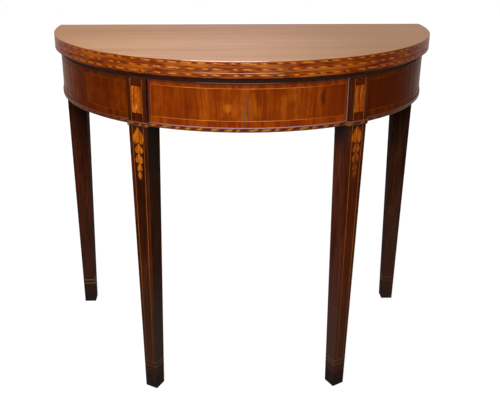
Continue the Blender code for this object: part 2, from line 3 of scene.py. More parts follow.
import bmesh
import bpy
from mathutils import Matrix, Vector


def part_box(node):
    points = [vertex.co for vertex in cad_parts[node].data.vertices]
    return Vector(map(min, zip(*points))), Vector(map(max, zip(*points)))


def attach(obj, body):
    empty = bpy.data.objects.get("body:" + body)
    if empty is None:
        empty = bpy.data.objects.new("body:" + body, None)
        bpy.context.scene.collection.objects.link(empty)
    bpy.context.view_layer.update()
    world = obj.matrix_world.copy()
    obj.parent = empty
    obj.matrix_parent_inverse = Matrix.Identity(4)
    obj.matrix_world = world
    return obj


# The looks of a demilune card table: its finishes, its inlays, the light and the camera.
# Lengths are in metres, angles in radians, and colours in linear light.

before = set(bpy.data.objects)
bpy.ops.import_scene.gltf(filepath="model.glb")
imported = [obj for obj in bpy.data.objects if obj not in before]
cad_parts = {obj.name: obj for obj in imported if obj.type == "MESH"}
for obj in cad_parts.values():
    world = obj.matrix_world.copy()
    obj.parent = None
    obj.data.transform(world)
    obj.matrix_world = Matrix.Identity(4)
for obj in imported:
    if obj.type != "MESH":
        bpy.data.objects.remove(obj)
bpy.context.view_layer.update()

# Sizes that the frame gives
top_low, top_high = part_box("upper_leaf")
bay_low, bay_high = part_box("bay_veneer_centre")
band_low, band_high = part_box("apron_band_centre")
panel_low, panel_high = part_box("stile_panel_left")
TOP_RADIUS = (top_high.x - top_low.x) / 2
CENTRE_Y = top_low.y + TOP_RADIUS
HEIGHT = top_high.z
JOINT_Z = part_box("lower_leaf")[1].z
APRON_RADIUS = CENTRE_Y - bay_low.y
APRON_TOP = bay_high.z
APRON_FOOT = band_low.z
BAND_TOP = band_high.z

# The photograph's camera, whose place in plan is counted from the centre of the half circle
IMAGE_WIDTH = 500
SENSOR = 36.0
CAMERA_X = -0.0648
CAMERA_BEFORE = 1.6147
CAMERA_HEIGHT = 0.98073
CAMERA_YAW = math.radians(1.082)
CAMERA_PITCH = math.radians(19.7247)
FOCAL_PIXELS = 671.2
MIDDLE_LEFT_PIXELS = 23.39
MIDDLE_UP_PIXELS = 38.77

# Inlays
PROUD = 0.00018
SUNK = 0.00012
STRING_WIDTH = 0.0011
STRING_HALF = STRING_WIDTH / 2
BAY_STRING_INSET = 0.0034
BAY_STRING_DROP = 0.0107
BAY_STRING_RISE = 0.0125
BAY_STRING_STEPS = 40
LEG_STRING_OFFSET = 0.0129
LEG_STRING_FOOT_OFFSET = 0.0085
STILE_TOP = APRON_TOP - 0.0010
BAND_GAP = 0.0006
BLOCK_GAP = 0.0006
PANEL_GAP = 0.0004
CUFF_LOW = 0.0555
CUFF_HIGH = 0.0655
CUFF_WIDTH = 0.0013
CUFF_SUNK = 0.0004
CORNER_GROWTH = 1.4

# Husks down the front legs, of which each row is a husk's height and width, from the top
HUSKS = ((0.0350, 0.0245), (0.0205, 0.0192), (0.0218, 0.0178), (0.0182, 0.0125))
HUSK_DROP = 0.0020
HUSK_LAP = 0.0012
HUSK_CORE_SHARE = 0.34
HUSK_NOTCH_SHARE = 0.09
HUSK_WIDEST_SHARE = 0.70
HUSK_TUCK = 0.42
HUSK_STEPS = 12
PETAL_SHOULDER = 0.80
PETAL_STEPS = 10
PETAL_GAP = 0.00110
DROP_HEIGHT = 0.0170
DROP_WIDTH = 0.0086

# Screws of the hinge plates
SCREW_REACH_UPPER = 0.0165
SCREW_REACH_LOWER = 0.0095
SCREW_INSET = 0.0034
SCREW_RADIUS = 0.0023
SCREW_SLOT_HALF = 0.00035
SCREW_PROUD = 0.00030
SCREW_SUNK = 0.00020
SCREW_STEPS = 10

# How near places in the frame's meshes count as one level, edge, radius or corner
LEVEL_NEAR = 0.001
EDGE_NEAR = 0.0005
RADIUS_NEAR = 0.0002
CORNER_NEAR = 0.0001

# Woods, as dark, middle and light
FACE_TONES = ((0.375, 0.184, 0.093), (0.448, 0.226, 0.120), (0.495, 0.258, 0.142))
EDGE_TONES = ((0.111, 0.0155, 0.0050), (0.280, 0.0560, 0.0080), (0.402, 0.1150, 0.0140))
BAY_TONES = ((0.132, 0.015, 0.0007), (0.241, 0.037, 0.0013), (0.347, 0.074, 0.0039))
# Painted shade: the side bays are the front bay's wood, darker
SIDE_BAY_SHADED_TONES = ((0.070, 0.0085, 0.0006), (0.128, 0.0185, 0.0009), (0.190, 0.0350, 0.0017))
SATINWOOD = ((0.269, 0.054, 0.0022), (0.414, 0.103, 0.0056), (0.560, 0.174, 0.016))
BOXWOOD = ((0.403, 0.123, 0.018), (0.515, 0.179, 0.028), (0.605, 0.235, 0.045))
# Painted shade: the side bays' strings are the boxwood, darker
SIDE_SHADED_BOXWOOD = ((0.140, 0.031, 0.004), (0.200, 0.048, 0.007), (0.270, 0.072, 0.012))
LEG_BOXWOOD = ((0.224, 0.056, 0.011), (0.314, 0.084, 0.016), (0.392, 0.118, 0.025))
DIM_BOXWOOD = ((0.090, 0.042, 0.016), (0.128, 0.060, 0.022), (0.165, 0.080, 0.030))
PALE_BOXWOOD = ((0.190, 0.105, 0.038), (0.260, 0.150, 0.056), (0.330, 0.195, 0.078))
HUSK_WOOD = ((0.370, 0.088, 0.0040), (0.540, 0.138, 0.0065), (0.660, 0.195, 0.014))
WORN_HUSK_WOOD = ((0.270, 0.058, 0.0030), (0.430, 0.098, 0.0050), (0.560, 0.150, 0.010))
ROSEWOOD = ((0.028, 0.0042, 0.0009), (0.055, 0.0084, 0.0014), (0.087, 0.0140, 0.0024))
FADED_ROSEWOOD = ((0.055, 0.0075, 0.0009), (0.087, 0.0126, 0.0014), (0.127, 0.0190, 0.0021))
PINE = ((0.36, 0.20, 0.085), (0.46, 0.28, 0.13), (0.54, 0.36, 0.19))
OAK = ((0.15, 0.075, 0.030), (0.22, 0.12, 0.052), (0.29, 0.17, 0.080))

# Rope bandings, as light, dark and ground, and the bays' borders, as dark and light
LEAF_ROPE = ((0.585, 0.206, 0.024), (0.070, 0.0125, 0.0045), (0.298, 0.0590, 0.0080))
APRON_ROPE = ((0.380, 0.135, 0.018), (0.060, 0.011, 0.0026), (0.160, 0.033, 0.0040))
BAY_BORDER = ((0.172, 0.020, 0.0007), (0.264, 0.039, 0.0012))
# Painted shade: the side bays' border is the front border, darker
SIDE_BAY_SHADED_BORDER = ((0.078, 0.0095, 0.0006), (0.118, 0.0180, 0.0009))

# Metals, as clean, tarnished and roughness
BRASS = ((0.60, 0.42, 0.17), (0.26, 0.17, 0.08), 0.34)
HINGE_STEEL = ((0.42, 0.41, 0.39), (0.22, 0.20, 0.18), 0.38)
KNUCKLE_STEEL = ((0.38, 0.36, 0.33), (0.18, 0.14, 0.11), 0.42)
SCREW_BRASS = ((0.50, 0.36, 0.16), (0.20, 0.14, 0.08), 0.36)

# Speculars that several woods share
POLISHED = 0.03
WAXED = 0.02
DRY = 0.004

# Tints, which multiply the colour under them
# The leaves away from their sun-faded, painted-lit front middle
UNFADED_UNLIT = (0.75, 0.58, 0.28)
# Painted shade on the right of the leaves
SHADED_RIGHT_TINT = (0.84, 0.90, 0.93)
LEFT_TINT = (0.99, 0.96, 0.84)
# Painted sheen at the back middle of the leaves
BACK_SHEEN_TINT = (0.93, 1.00, 1.15)
EDGE_END = (0.80, 0.63, 0.22)
BAND_END = (0.62, 0.66, 0.80)
RUBBED_LEG = (1.22, 1.22, 1.12)
LEFT_SATIN = (1.02, 0.88, 0.70)
RIGHT_SATIN = (0.86, 0.62, 0.50)

# Tones of wear and figure, and of painted shade, highlights, light and sheen
# Painted highlights along the upper and lower leaves' top arrises
ARRIS_HIGHLIGHT = (0.80, 0.54, 0.50)
LOWER_ARRIS_HIGHLIGHT = (0.52, 0.29, 0.20)
# Painted shade under the leaves' overhang, also the dark joint between the leaves
SHADE_AND_JOINT_TONE = (0.044, 0.0155, 0.0082)
# Painted highlight on the apron band's ledge and along the front bay's top
LEDGE_HIGHLIGHT_TONE = (0.36, 0.26, 0.30)
# Painted highlight along a front leg's corner beside the bays
CORNER_HIGHLIGHT_TONE = (0.220, 0.165, 0.170)
GOLDEN = (0.330, 0.080, 0.0040)
# Painted light and sheen on the side bays far round
LIT_END_TONES = ((0.175, 0.075, 0.034), (0.300, 0.150, 0.075))
CRACK_TONE = (0.040, 0.026, 0.020)
RUBBED_TONE = (0.080, 0.058, 0.040)
SHADED_LEG = (0.0060, 0.0028, 0.0014)
# The front feet's black, also the tone of painted shadow and shade on the legs
FOOT_AND_SHADE_TONE = (0.017, 0.012, 0.010)

# Each leg's wood: its three tones, its dulled tone low down and its foot's tone
FRONT_LEG = (((0.031, 0.0067, 0.0022), (0.067, 0.013, 0.0034), (0.103, 0.021, 0.0056)),
             (0.054, 0.024, 0.014), FOOT_AND_SHADE_TONE)
REAR_LEG_LEFT = (((0.028, 0.0067, 0.0033), (0.059, 0.0135, 0.0052), (0.092, 0.0215, 0.0083)),
                 (0.042, 0.018, 0.0125), (0.024, 0.0125, 0.0095))
REAR_LEG_RIGHT = (((0.031, 0.0100, 0.0060), (0.067, 0.0200, 0.0090), (0.103, 0.0320, 0.0145)),
                  (0.052, 0.025, 0.019), (0.040, 0.0195, 0.0145))


# Node materials


class Nodes:
    """A node tree, with short calls for the nodes that it needs."""

    def __init__(self, owner):
        owner.use_nodes = True
        self.tree = owner.node_tree

    def node(self, kind, *values, **settings):
        """A new node with its settings, and its first inputs fed in their order."""
        made = self.tree.nodes.new(kind)
        for key, value in settings.items():
            setattr(made, key, value)
        for socket, value in zip(made.inputs, values):
            self.feed(socket, value)
        return made

    def feed(self, socket, value):
        if isinstance(value, bpy.types.NodeSocket):
            self.tree.links.new(value, socket)
        elif socket.type == "RGBA":
            socket.default_value = (*value, 1.0)
        else:
            socket.default_value = value

    def math(self, operation, *values):
        return self.node("ShaderNodeMath", *values, operation=operation).outputs[0]

    def plus(self, first, second):
        return self.math("ADD", first, second)

    def minus(self, first, second):
        return self.math("SUBTRACT", first, second)

    def times(self, first, second):
        return self.math("MULTIPLY", first, second)

    def over(self, first, second):
        return self.math("DIVIDE", first, second)

    def most(self, first, second):
        return self.math("MAXIMUM", first, second)

    def size(self, value):
        return self.math("ABSOLUTE", value)

    def seen(self):
        """One for camera, glossy and transmission rays, zero for the light that objects get."""
        rays = self.node("ShaderNodeLightPath").outputs
        share = self.most(rays["Is Camera Ray"], rays["Is Glossy Ray"])
        return self.most(share, rays["Is Transmission Ray"])


class Finish(Nodes):
    """A Principled material, with short calls for the nodes that vary it.

    A change is given as its low and high end, and often its full share. A window is given as its
    two ends and its softness, and a noise as its scale, detail, roughness and distortion or the
    first of these.
    """

    def __init__(self, name, specular, metallic=0.0):
        self.material = bpy.data.materials.new(name)
        super().__init__(self.material)
        self.shader = self.tree.nodes["Principled BSDF"]
        self.set("Specular IOR Level", specular)
        self.set("Metallic", metallic)
        self.place = self.node("ShaderNodeTexCoord").outputs["Object"]
        self.x, self.y, self.z = self.split(self.place)

    def set(self, name, value):
        self.feed(self.shader.inputs[name], value)

    def done(self, colour):
        self.set("Base Color", colour)
        return self.material

    def split(self, vector):
        return self.node("ShaderNodeSeparateXYZ", vector).outputs[:3]

    def join(self, x, y, z):
        return self.node("ShaderNodeCombineXYZ", x, y, z).outputs[0]

    def fed(self, made, **values):
        """A node's first output, once its named inputs are fed."""
        for name, value in values.items():
            self.feed(made.inputs[name], value)
        return made.outputs[0]

    def noise(self, vector, scale, detail=3.0, roughness=0.5, distortion=0.0):
        return self.fed(self.node("ShaderNodeTexNoise", vector), Scale=scale, Detail=detail,
                        Roughness=roughness, Distortion=distortion)

    def ease(self, value, low, high, to_low, to_high):
        """A smooth step between two values."""
        made = self.node("ShaderNodeMapRange", value, low, high, to_low, to_high,
                         interpolation_type="SMOOTHSTEP")
        return made.outputs[0]

    def rise(self, value, low, high, full=1.0):
        return self.ease(value, low, high, 0.0, full)

    def fall(self, value, low, high, full=1.0):
        return self.ease(value, low, high, full, 0.0)

    def window(self, value, low, high, soft):
        """One between two values and zero outside them, with soft edges."""
        rise = self.rise(value, low - soft, low + soft)
        return self.times(rise, self.fall(value, high - soft, high + soft))

    def jitter(self, value, noise, amount):
        """A value moved either way by a noise."""
        return self.plus(value, self.times(self.minus(noise, 0.5), amount))

    def blend(self, share, first, second, mode="MIX"):
        made = self.node("ShaderNodeMix", share, data_type="RGBA", blend_type=mode, clamp_factor=True)
        self.feed(made.inputs[6], first)
        self.feed(made.inputs[7], second)
        return made.outputs[2]

    def tint(self, share, colour, factor):
        return self.blend(share, colour, factor, "MULTIPLY")

    def bump(self, height, strength, distance):
        made = self.node("ShaderNodeBump")
        self.set("Normal", self.fed(made, Strength=strength, Distance=distance, Height=height))

    def normal(self):
        """The three parts of the way that a face looks."""
        return self.split(self.node("ShaderNodeNewGeometry").outputs["Normal"])

    def arc(self, radius):
        """The distance round the half circle from its front, at a radius."""
        back = self.minus(CENTRE_Y, self.y)
        return self.times(self.math("ARCTAN2", self.x, back), radius)

    def reach(self):
        """The distance from the middle of the half circle, in plan."""
        back = self.minus(CENTRE_Y, self.y)
        square = self.plus(self.times(back, back), self.times(self.x, self.x))
        return self.math("SQRT", square)


# Grain: how strong its streaks and pores are, its gloss, its relief and its figure's scale
TOP_GRAIN = (0.15, 0.06, (0.30, 0.38), 0.10, 48.0)
BAY_GRAIN = (0.24, 0.12, (0.24, 0.34), 0.12, 34.0)
LEG_GRAIN = (0.35, 0.25, (0.30, 0.42), 0.20, 26.0)
SATIN_GRAIN = (0.30, 0.10, (0.26, 0.34), 0.12, 90.0)
PLAIN_GRAIN = (0.22, 0.20, (0.55, 0.75), 0.35, 26.0)

# An inlay's grain, whose streaks are given apart
INLAY_GRAIN = (0.08, (0.28, 0.38), 0.10, 26.0)
INLAY_STREAKS = 0.22
LEFT_HUSK_STREAKS = 0.55
RIGHT_HUSK_STREAKS = 0.75

# Noises and levels of every grain, of which the figure's noise lacks its scale
FIGURE_NOISE = (3.0, 0.55, 0.6)
FINE_NOISE = (210.0, 3.0, 0.6)
PORE_NOISE = (900.0, 1.0)
MIDDLE_LEVELS = (0.30, 0.55)
LIGHT_LEVELS = (0.50, 0.75)
STREAK_LEVELS = (0.35, 0.68)
STREAK_LIFT = 0.4
PORE_LEVELS = (0.60, 0.72)
PORE_DEPTH = 1.6
GLOSS_LEVELS = (0.3, 0.7)
RELIEF = 0.0002


def grained(wood, along, across, depth, stretch):
    """The place on a board, drawn out along its grain."""
    return wood.join(wood.over(along, stretch), across, depth)


def add_grain(wood, board, tones, grain):
    """Colour, gloss and relief of a board: broad figure, fine streaks and open pores."""
    dark, middle, light = tones
    streaks, pores, gloss, relief, scale = grain
    figure = wood.noise(board, scale, *FIGURE_NOISE)
    fine = wood.noise(board, *FINE_NOISE)
    pit = wood.rise(wood.noise(board, *PORE_NOISE), *PORE_LEVELS)
    colour = wood.blend(wood.rise(figure, *MIDDLE_LEVELS), dark, middle)
    colour = wood.blend(wood.rise(figure, *LIGHT_LEVELS), colour, light)
    shade = wood.ease(fine, *STREAK_LEVELS, 1.0 - streaks, 1.0 + streaks * STREAK_LIFT)
    shade = wood.times(shade, wood.minus(1.0, wood.times(pit, pores)))
    wood.set("Roughness", wood.ease(fine, *GLOSS_LEVELS, *gloss))
    wood.bump(wood.minus(fine, wood.times(pit, PORE_DEPTH)), relief, RELIEF)
    return wood.tint(1.0, colour, wood.join(shade, shade, shade))


# The leaves: where their faces are sun-faded and painted lighter, tinted with painted shade and sheen,
# and where their edges get painted highlights and darken
FADED_LIT_MIDDLE_X = -0.10
FADED_LIT_NOISE = (5.0, 2.0)
FADED_LIT_DRIFT = 0.12
FADED_LIT_HALF = (0.06, 0.42)
FADED_LIT_DEPTH = (0.04, 0.28)
FADED_LIT_BACK = 0.35
RIGHT_REACH = (-0.05, 0.36)
LEFT_REACH = (-0.28, -0.02)
BACK_DEPTH = (0.02, 0.18)
BACK_REACH = (-0.22, 0.16, 0.10)
TOP_STRETCH = 30.0
EDGE_STRETCH = 9.0
EDGE_FIGURE_NOISE = (330.0, 3.0, 0.6, 0.5)
EDGE_PATCH_NOISE = (90.0, 2.0, 0.5, 0.4)
EDGE_FIGURE = (0.42, 0.60)
EDGE_PATCHES = (0.44, 0.70)
EDGE_MIDDLE = -0.03
EDGE_END_REACH = (0.08, 0.24)
JOINT_LINE = (0.0003, 0.0010, 0.65)
FLAT_FACES = (0.45, 0.60)
FLAT_RIM = (TOP_RADIUS - 0.0030, TOP_RADIUS - 0.0020)
# Levels of the lower leaf's set-back, which is painted in shade
SHADED_SET_BACK = (JOINT_Z - 0.0122, JOINT_Z - 0.0088)
ARRIS_NOISE = (60.0, 3.0, 0.6)
ARRIS_DEPTH = 0.0007
ARRIS_SOFT = 0.0003
ARRIS_END_SOFT = 0.012
ARRIS_RIM = (TOP_RADIUS - 0.0016, TOP_RADIUS - 0.0008)
ARRIS_PATCHES = (0.25, 0.50, 0.55, 1.0)
# Spans round the front where the arris highlights are painted
UPPER_HIGHLIGHT_SPAN = (-0.120, 0.030)
LOWER_HIGHLIGHT_SPAN = (-0.095, 0.055)


def make_top_finish(name, lower, highlight_span):
    """The leaves: pale faces, sun-faded and painted lighter in the front middle, with painted shade to
    the right and painted sheen at the back, and a redder edge with its own cross grain.
    """
    wood = Finish(name, POLISHED)
    board = grained(wood, wood.x, wood.y, wood.z, TOP_STRETCH)
    face = add_grain(wood, board, FACE_TONES, TOP_GRAIN)
    # Paler in the front middle: partly sun-fading, partly a painted pool of light
    face = wood.tint(wood.minus(1.0, faded_lit_share(wood)), face, UNFADED_UNLIT)
    # Painted shade: the faces darken towards the right
    face = wood.tint(wood.rise(wood.x, *RIGHT_REACH), face, SHADED_RIGHT_TINT)
    face = wood.tint(wood.fall(wood.x, *LEFT_REACH), face, LEFT_TINT)
    # Painted sheen: the back middle is greyer
    back = wood.size(wood.minus(CENTRE_Y, wood.y))
    grey = wood.times(wood.fall(back, *BACK_DEPTH), wood.window(wood.x, *BACK_REACH))
    face = wood.tint(grey, face, BACK_SHEEN_TINT)
    length = wood.arc(TOP_RADIUS)
    strip = wood.join(wood.over(length, EDGE_STRETCH), wood.z, 0.0)
    figure = wood.noise(strip, *EDGE_FIGURE_NOISE)
    patch = wood.noise(strip, *EDGE_PATCH_NOISE)
    dark, middle, light = EDGE_TONES
    edge = wood.blend(wood.rise(figure, *EDGE_FIGURE), dark, middle)
    edge = wood.blend(wood.rise(patch, *EDGE_PATCHES), edge, light)
    edge = wood.tint(end_share(wood, length), edge, EDGE_END)
    joint = wood.size(wood.minus(wood.z, JOINT_Z))
    edge = wood.blend(wood.fall(joint, *JOINT_LINE), edge, SHADE_AND_JOINT_TONE)
    flat = wood.rise(wood.size(wood.normal()[2]), *FLAT_FACES)
    if lower:
        flat = wood.times(flat, wood.fall(wood.reach(), *FLAT_RIM))
    colour = wood.blend(flat, edge, face)
    # Painted highlight along the top arris
    level, highlight = (JOINT_Z, LOWER_ARRIS_HIGHLIGHT) if lower else (HEIGHT, ARRIS_HIGHLIGHT)
    colour = wood.blend(arris_highlight(wood, length, level, highlight_span), colour, highlight)
    if lower:
        # Painted shade on the lower leaf's set-back lower half
        colour = wood.blend(wood.fall(wood.z, *SHADED_SET_BACK), colour, SHADE_AND_JOINT_TONE)
    return wood.done(colour)


def end_share(wood, length):
    """How near a place round the front is to its ends, which are tinted darker."""
    return wood.rise(wood.size(wood.minus(length, EDGE_MIDDLE)), *EDGE_END_REACH)


def faded_lit_share(wood):
    """How far a place on the leaves is sun-faded and painted lighter, as a pool of light: most in the
    middle of the front.
    """
    drift = wood.noise(wood.join(wood.x, wood.y, 0.0), *FADED_LIT_NOISE)
    side = wood.size(wood.minus(wood.x, FADED_LIT_MIDDLE_X))
    across = wood.fall(wood.jitter(side, drift, FADED_LIT_DRIFT), *FADED_LIT_HALF)
    back = wood.size(wood.minus(CENTRE_Y, wood.y))
    return wood.times(across, wood.ease(back, *FADED_LIT_DEPTH, FADED_LIT_BACK, 1.0))


def arris_highlight(wood, length, level, span):
    """A painted highlight along an arris, between two places round the top."""
    patchy = wood.noise(wood.join(length, 0.0, level), *ARRIS_NOISE)
    depth = wood.plus(level - ARRIS_DEPTH, wood.times(patchy, -ARRIS_DEPTH))
    line = wood.rise(wood.minus(wood.z, depth), -ARRIS_SOFT, ARRIS_SOFT)
    line = wood.times(line, wood.rise(wood.reach(), *ARRIS_RIM))
    line = wood.times(line, wood.window(length, *span, ARRIS_END_SOFT))
    return wood.times(line, wood.ease(patchy, *ARRIS_PATCHES))


# Rope bandings: a twist is a slant, a period, and its light lozenges' half span and softness
LEAF_TWIST = (0.22, 0.0280, 0.44, 0.16)
APRON_TWIST = (-0.50, 0.0240, 0.26, 0.03)
ROPE_ROUGHNESS = 0.34
ROPE_RELIEF = 0.10
WANDER_NOISE = (38.0, 2.0)
WANDER_TURNS = 1.5
STRANDS = 4
STRAND_SHARE = 0.22
ROPE_GRAIN_NOISE = (900.0, 2.0)
ROPE_GRAIN_STRETCH = 8.0
ROPE_GRAIN_SHARE = 2.4
LEAF_LENS = 2.2
LEDGE_LENS = 3.0
LIGHT_LOZENGES = (-0.30, 0.70)
DARK_LOZENGES = (-0.85, 0.20)
RIM_NOISE = (70.0, 2.0)
RIM_RAGGED = 0.0009
RIM_LEVELS = (BAND_TOP - 0.0010, BAND_TOP - 0.0002)
BAND_FOOT_SHADE = (APRON_FOOT, APRON_FOOT + 0.0016)
LEDGE_HIGHLIGHT_REACH = (-0.18, 0.18, 0.15)
LEDGE_HIGHLIGHT_SHARE = 0.74


def make_rope_finish(name, radius, low, high, tones, twist, ledge=False):
    """A rope banding: light and dark lozenges drawn out along the strip. The apron's is a ledge, with a
    painted highlight on top and painted shade at its foot.
    """
    light, dark, ground = tones
    slant, period, span, span_soft = twist
    wood = Finish(name, POLISHED)
    wood.set("Roughness", ROPE_ROUGHNESS)
    length = wood.arc(radius)
    level = wood.over(wood.minus(wood.z, low), high - low)
    wander = wood.noise(wood.join(length, 0.0, low), *WANDER_NOISE)
    turn = wood.jitter(wood.over(length, period), wander, WANDER_TURNS)
    turn = wood.plus(turn, wood.times(level, slant))
    wave = wood.math("COSINE", wood.times(turn, 2 * math.pi))
    strand = wood.math("SINE", wood.times(turn, 2 * STRANDS * math.pi))
    wave = wood.plus(wave, wood.times(strand, STRAND_SHARE))
    strip = wood.join(wood.over(length, ROPE_GRAIN_STRETCH), wood.z, 0.0)
    wave = wood.jitter(wave, wood.noise(strip, *ROPE_GRAIN_NOISE), ROPE_GRAIN_SHARE)
    lens = wood.times(wood.size(wood.minus(level, 0.5)), LEDGE_LENS if ledge else LEAF_LENS)
    bright = wood.rise(wood.minus(wave, lens), *LIGHT_LOZENGES)
    bright = wood.times(bright, wood.window(length, -span, span, span_soft))
    deep = wood.fall(wood.plus(wave, lens), *DARK_LOZENGES)
    colour = wood.blend(deep, wood.blend(bright, ground, light), dark)
    colour = wood.tint(end_share(wood, length), colour, BAND_END if ledge else EDGE_END)
    if ledge:
        # Painted highlight along the top of the ledge and on its upward faces
        patchy = wood.noise(wood.join(length, 0.0, 0.0), *RIM_NOISE)
        rim = wood.rise(wood.plus(wood.z, wood.times(patchy, RIM_RAGGED)), *RIM_LEVELS)
        lit = wood.most(rim, wood.size(wood.normal()[2]))
        lit = wood.times(lit, wood.window(length, *LEDGE_HIGHLIGHT_REACH))
        # Painted shade along the foot of the banding
        colour = wood.blend(wood.fall(wood.z, *BAND_FOOT_SHADE), colour, SHADE_AND_JOINT_TONE)
        colour = wood.blend(wood.times(lit, LEDGE_HIGHLIGHT_SHARE), colour, LEDGE_HIGHLIGHT_TONE)
    wood.bump(wave, ROPE_RELIEF, RELIEF)
    return wood.done(colour)


# The bays' figure, and where they get painted shade and highlights
FLAME_STRETCH = 14.0
FLAME_SWAY = 0.016
SWAY_STRETCH = 2.0
SWAY_NOISE = (9.0, 1.0)
STRIPE_STRETCH = 7.0
STRIPE_NOISE = (70.0, 2.0, 0.5, 0.3)
CLOUD_UPRIGHT = 2.0
CLOUD_NOISE = (11.0, 2.0)
MOTTLE_UPRIGHT = 0.8
MOTTLE_DEPTH = 0.3
MOTTLE_NOISE = (42.0, 2.0, 0.5, 0.6)
PALE_STRIPES = (0.52, 0.72, 0.45)
DARK_CLOUDS = (0.42, 0.62, 0.50)
DARK_MOTTLE = (0.46, 0.64, 0.42)
# Painted shade: darker to the right, over the front bay's right end and the right side bay
SHADED_BAY_RIGHT = (0.11, 0.18, 0.80)
BORDER_STRIPES = (0.40, 0.62)
BAY_FIELD = (BAND_TOP + BAY_STRING_RISE, APRON_TOP - BAY_STRING_DROP, 0.0004)
BAY_TOP_SHADE = (APRON_TOP - 0.0072, APRON_TOP - 0.0010, 0.80)
BAY_TOP_HIGHLIGHT = (APRON_TOP - 0.0016, APRON_TOP - 0.0008, 0.32)
BAY_HIGHLIGHT_REACH = (-0.095, 0.060, 0.015)

# The side bays' band of painted light and sheen far round, by its angle round the apron
SIDE_SHADE = (0.78, 1.02, 0.30)
LIT_END_DRIFT = 0.30
LIT_END_STRIPES = (0.25, 0.75)
LIT_END_BAND = (1.14, 1.38, 0.24)
LIT_END_SHARE = 0.66

# Patches of the front bay's figure: place and level, half sizes, share and tone
PATCH_UPRIGHT = 0.5
PATCH_NOISE = (130.0, 2.0)
PATCH_RAGGED = 1.6
PATCHES = (
    ((-0.0405, 0.6550), (0.0120, 0.0100), 0.62, (0.448, 0.140, 0.0067)),
    ((0.0055, 0.6550), (0.0085, 0.0360), 0.42, GOLDEN),
    ((0.0180, 0.6480), (0.0075, 0.0200), 0.38, GOLDEN),
    ((0.0640, 0.6550), (0.0080, 0.0400), 0.42, GOLDEN),
    ((0.0312, 0.6736), (0.0085, 0.0110), 0.60, (0.120, 0.020, 0.0014)),
    ((0.0790, 0.6624), (0.0090, 0.0130), 0.60, (0.120, 0.022, 0.0016)),
    ((0.1415, 0.6690), (0.0065, 0.0260), 0.80, (0.052, 0.0075, 0.0010)),
    ((-0.1180, 0.6500), (0.0070, 0.0300), 0.60, (0.105, 0.014, 0.0010)),
)

# The crack. Each stroke has its offset (None where it leans), half width, depths, share and tone.
CRACK_AT = -0.0095
CRACK_JAG = 0.005
JAG_SCALE = 150.0
SMEAR_NOISE = (260.0, 2.0)
CRACK_SOFT = 0.0011
CRACK_END_SOFT = 0.003
CRACK_LEAN = (0.028, 0.052, 0.0072, -0.0010)
CRACK_SMEAR = (0.35, 0.60, 0.55, 1.0)
CRACK_STROKES = (
    (-0.0010, 0.0014, (0.047, 0.078), 0.75, RUBBED_TONE),
    (0.0072, 0.0003, (0.028, 0.074), 0.55, RUBBED_TONE),
    (None, 0.0008, (0.030, 0.050), 0.65, RUBBED_TONE),
    (0.0012, 0.0013, (0.074, 0.110), 0.85, CRACK_TONE),
)


def make_bay_finish(name, specular, tones, border, front):
    """A curved bay's veneer: upright figure inside its stringing and a redder border."""
    wood = Finish(name, specular)
    length = wood.arc(APRON_RADIUS)
    wander = wood.noise(grained(wood, length, wood.z, 0.0, SWAY_STRETCH), *SWAY_NOISE)
    shifted = wood.plus(length, wood.times(wander, FLAME_SWAY))
    flame = grained(wood, wood.z, shifted, 0.0, FLAME_STRETCH)
    colour = add_grain(wood, flame, tones, BAY_GRAIN)
    stripe = wood.noise(grained(wood, wood.z, length, 0.0, STRIPE_STRETCH), *STRIPE_NOISE)
    colour = wood.blend(wood.rise(stripe, *PALE_STRIPES), colour, tones[2])
    cloud = wood.noise(wood.join(length, wood.times(wood.z, CLOUD_UPRIGHT), 0.0), *CLOUD_NOISE)
    level = wood.times(wood.z, MOTTLE_UPRIGHT)
    mottle = wood.noise(wood.join(length, level, MOTTLE_DEPTH), *MOTTLE_NOISE)
    deep = wood.most(wood.rise(cloud, *DARK_CLOUDS), wood.rise(mottle, *DARK_MOTTLE))
    # Painted shade towards the right
    deep = wood.most(deep, wood.rise(length, *SHADED_BAY_RIGHT))
    colour = wood.blend(deep, colour, tones[0])
    edge = wood.blend(wood.rise(stripe, *BORDER_STRIPES), *border)
    colour = wood.blend(wood.window(wood.z, *BAY_FIELD), edge, colour)
    # Painted shadow under the leaves' overhang, along the top of the bay
    colour = wood.blend(wood.rise(wood.z, *BAY_TOP_SHADE), colour, SHADE_AND_JOINT_TONE)
    if front:
        colour = add_crack(wood, add_patches(wood, colour, length), length)
        # Painted highlight along the top edge of the front bay
        rim = wood.rise(wood.z, *BAY_TOP_HIGHLIGHT)
        rim = wood.times(rim, wood.window(length, *BAY_HIGHLIGHT_REACH))
        colour = wood.blend(rim, colour, LEDGE_HIGHLIGHT_TONE)
    else:
        angle = wood.over(wood.size(length), APRON_RADIUS)
        colour = wood.blend(wood.rise(angle, *SIDE_SHADE), colour, tones[0])
        # Painted light and sheen in a band far round
        lit_end = wood.blend(wood.rise(stripe, *LIT_END_STRIPES), *LIT_END_TONES)
        band = wood.window(wood.jitter(angle, cloud, LIT_END_DRIFT), *LIT_END_BAND)
        colour = wood.blend(wood.times(band, LIT_END_SHARE), colour, lit_end)
    return wood.done(colour)


def add_patches(wood, colour, length):
    """Ragged patches in the front bay: a pale golden one, and golden and dark figure round it."""
    ragged = wood.noise(wood.join(length, wood.times(wood.z, PATCH_UPRIGHT), 0.0), *PATCH_NOISE)
    for (place, level), (wide, high), share, tone in PATCHES:
        across = wood.over(wood.minus(length, place), wide)
        above = wood.over(wood.minus(wood.z, level), high)
        reach = wood.plus(wood.times(across, across), wood.times(above, above))
        reach = wood.jitter(reach, ragged, PATCH_RAGGED)
        colour = wood.blend(wood.fall(reach, 0.0, 1.0, share), colour, tone)
    return colour


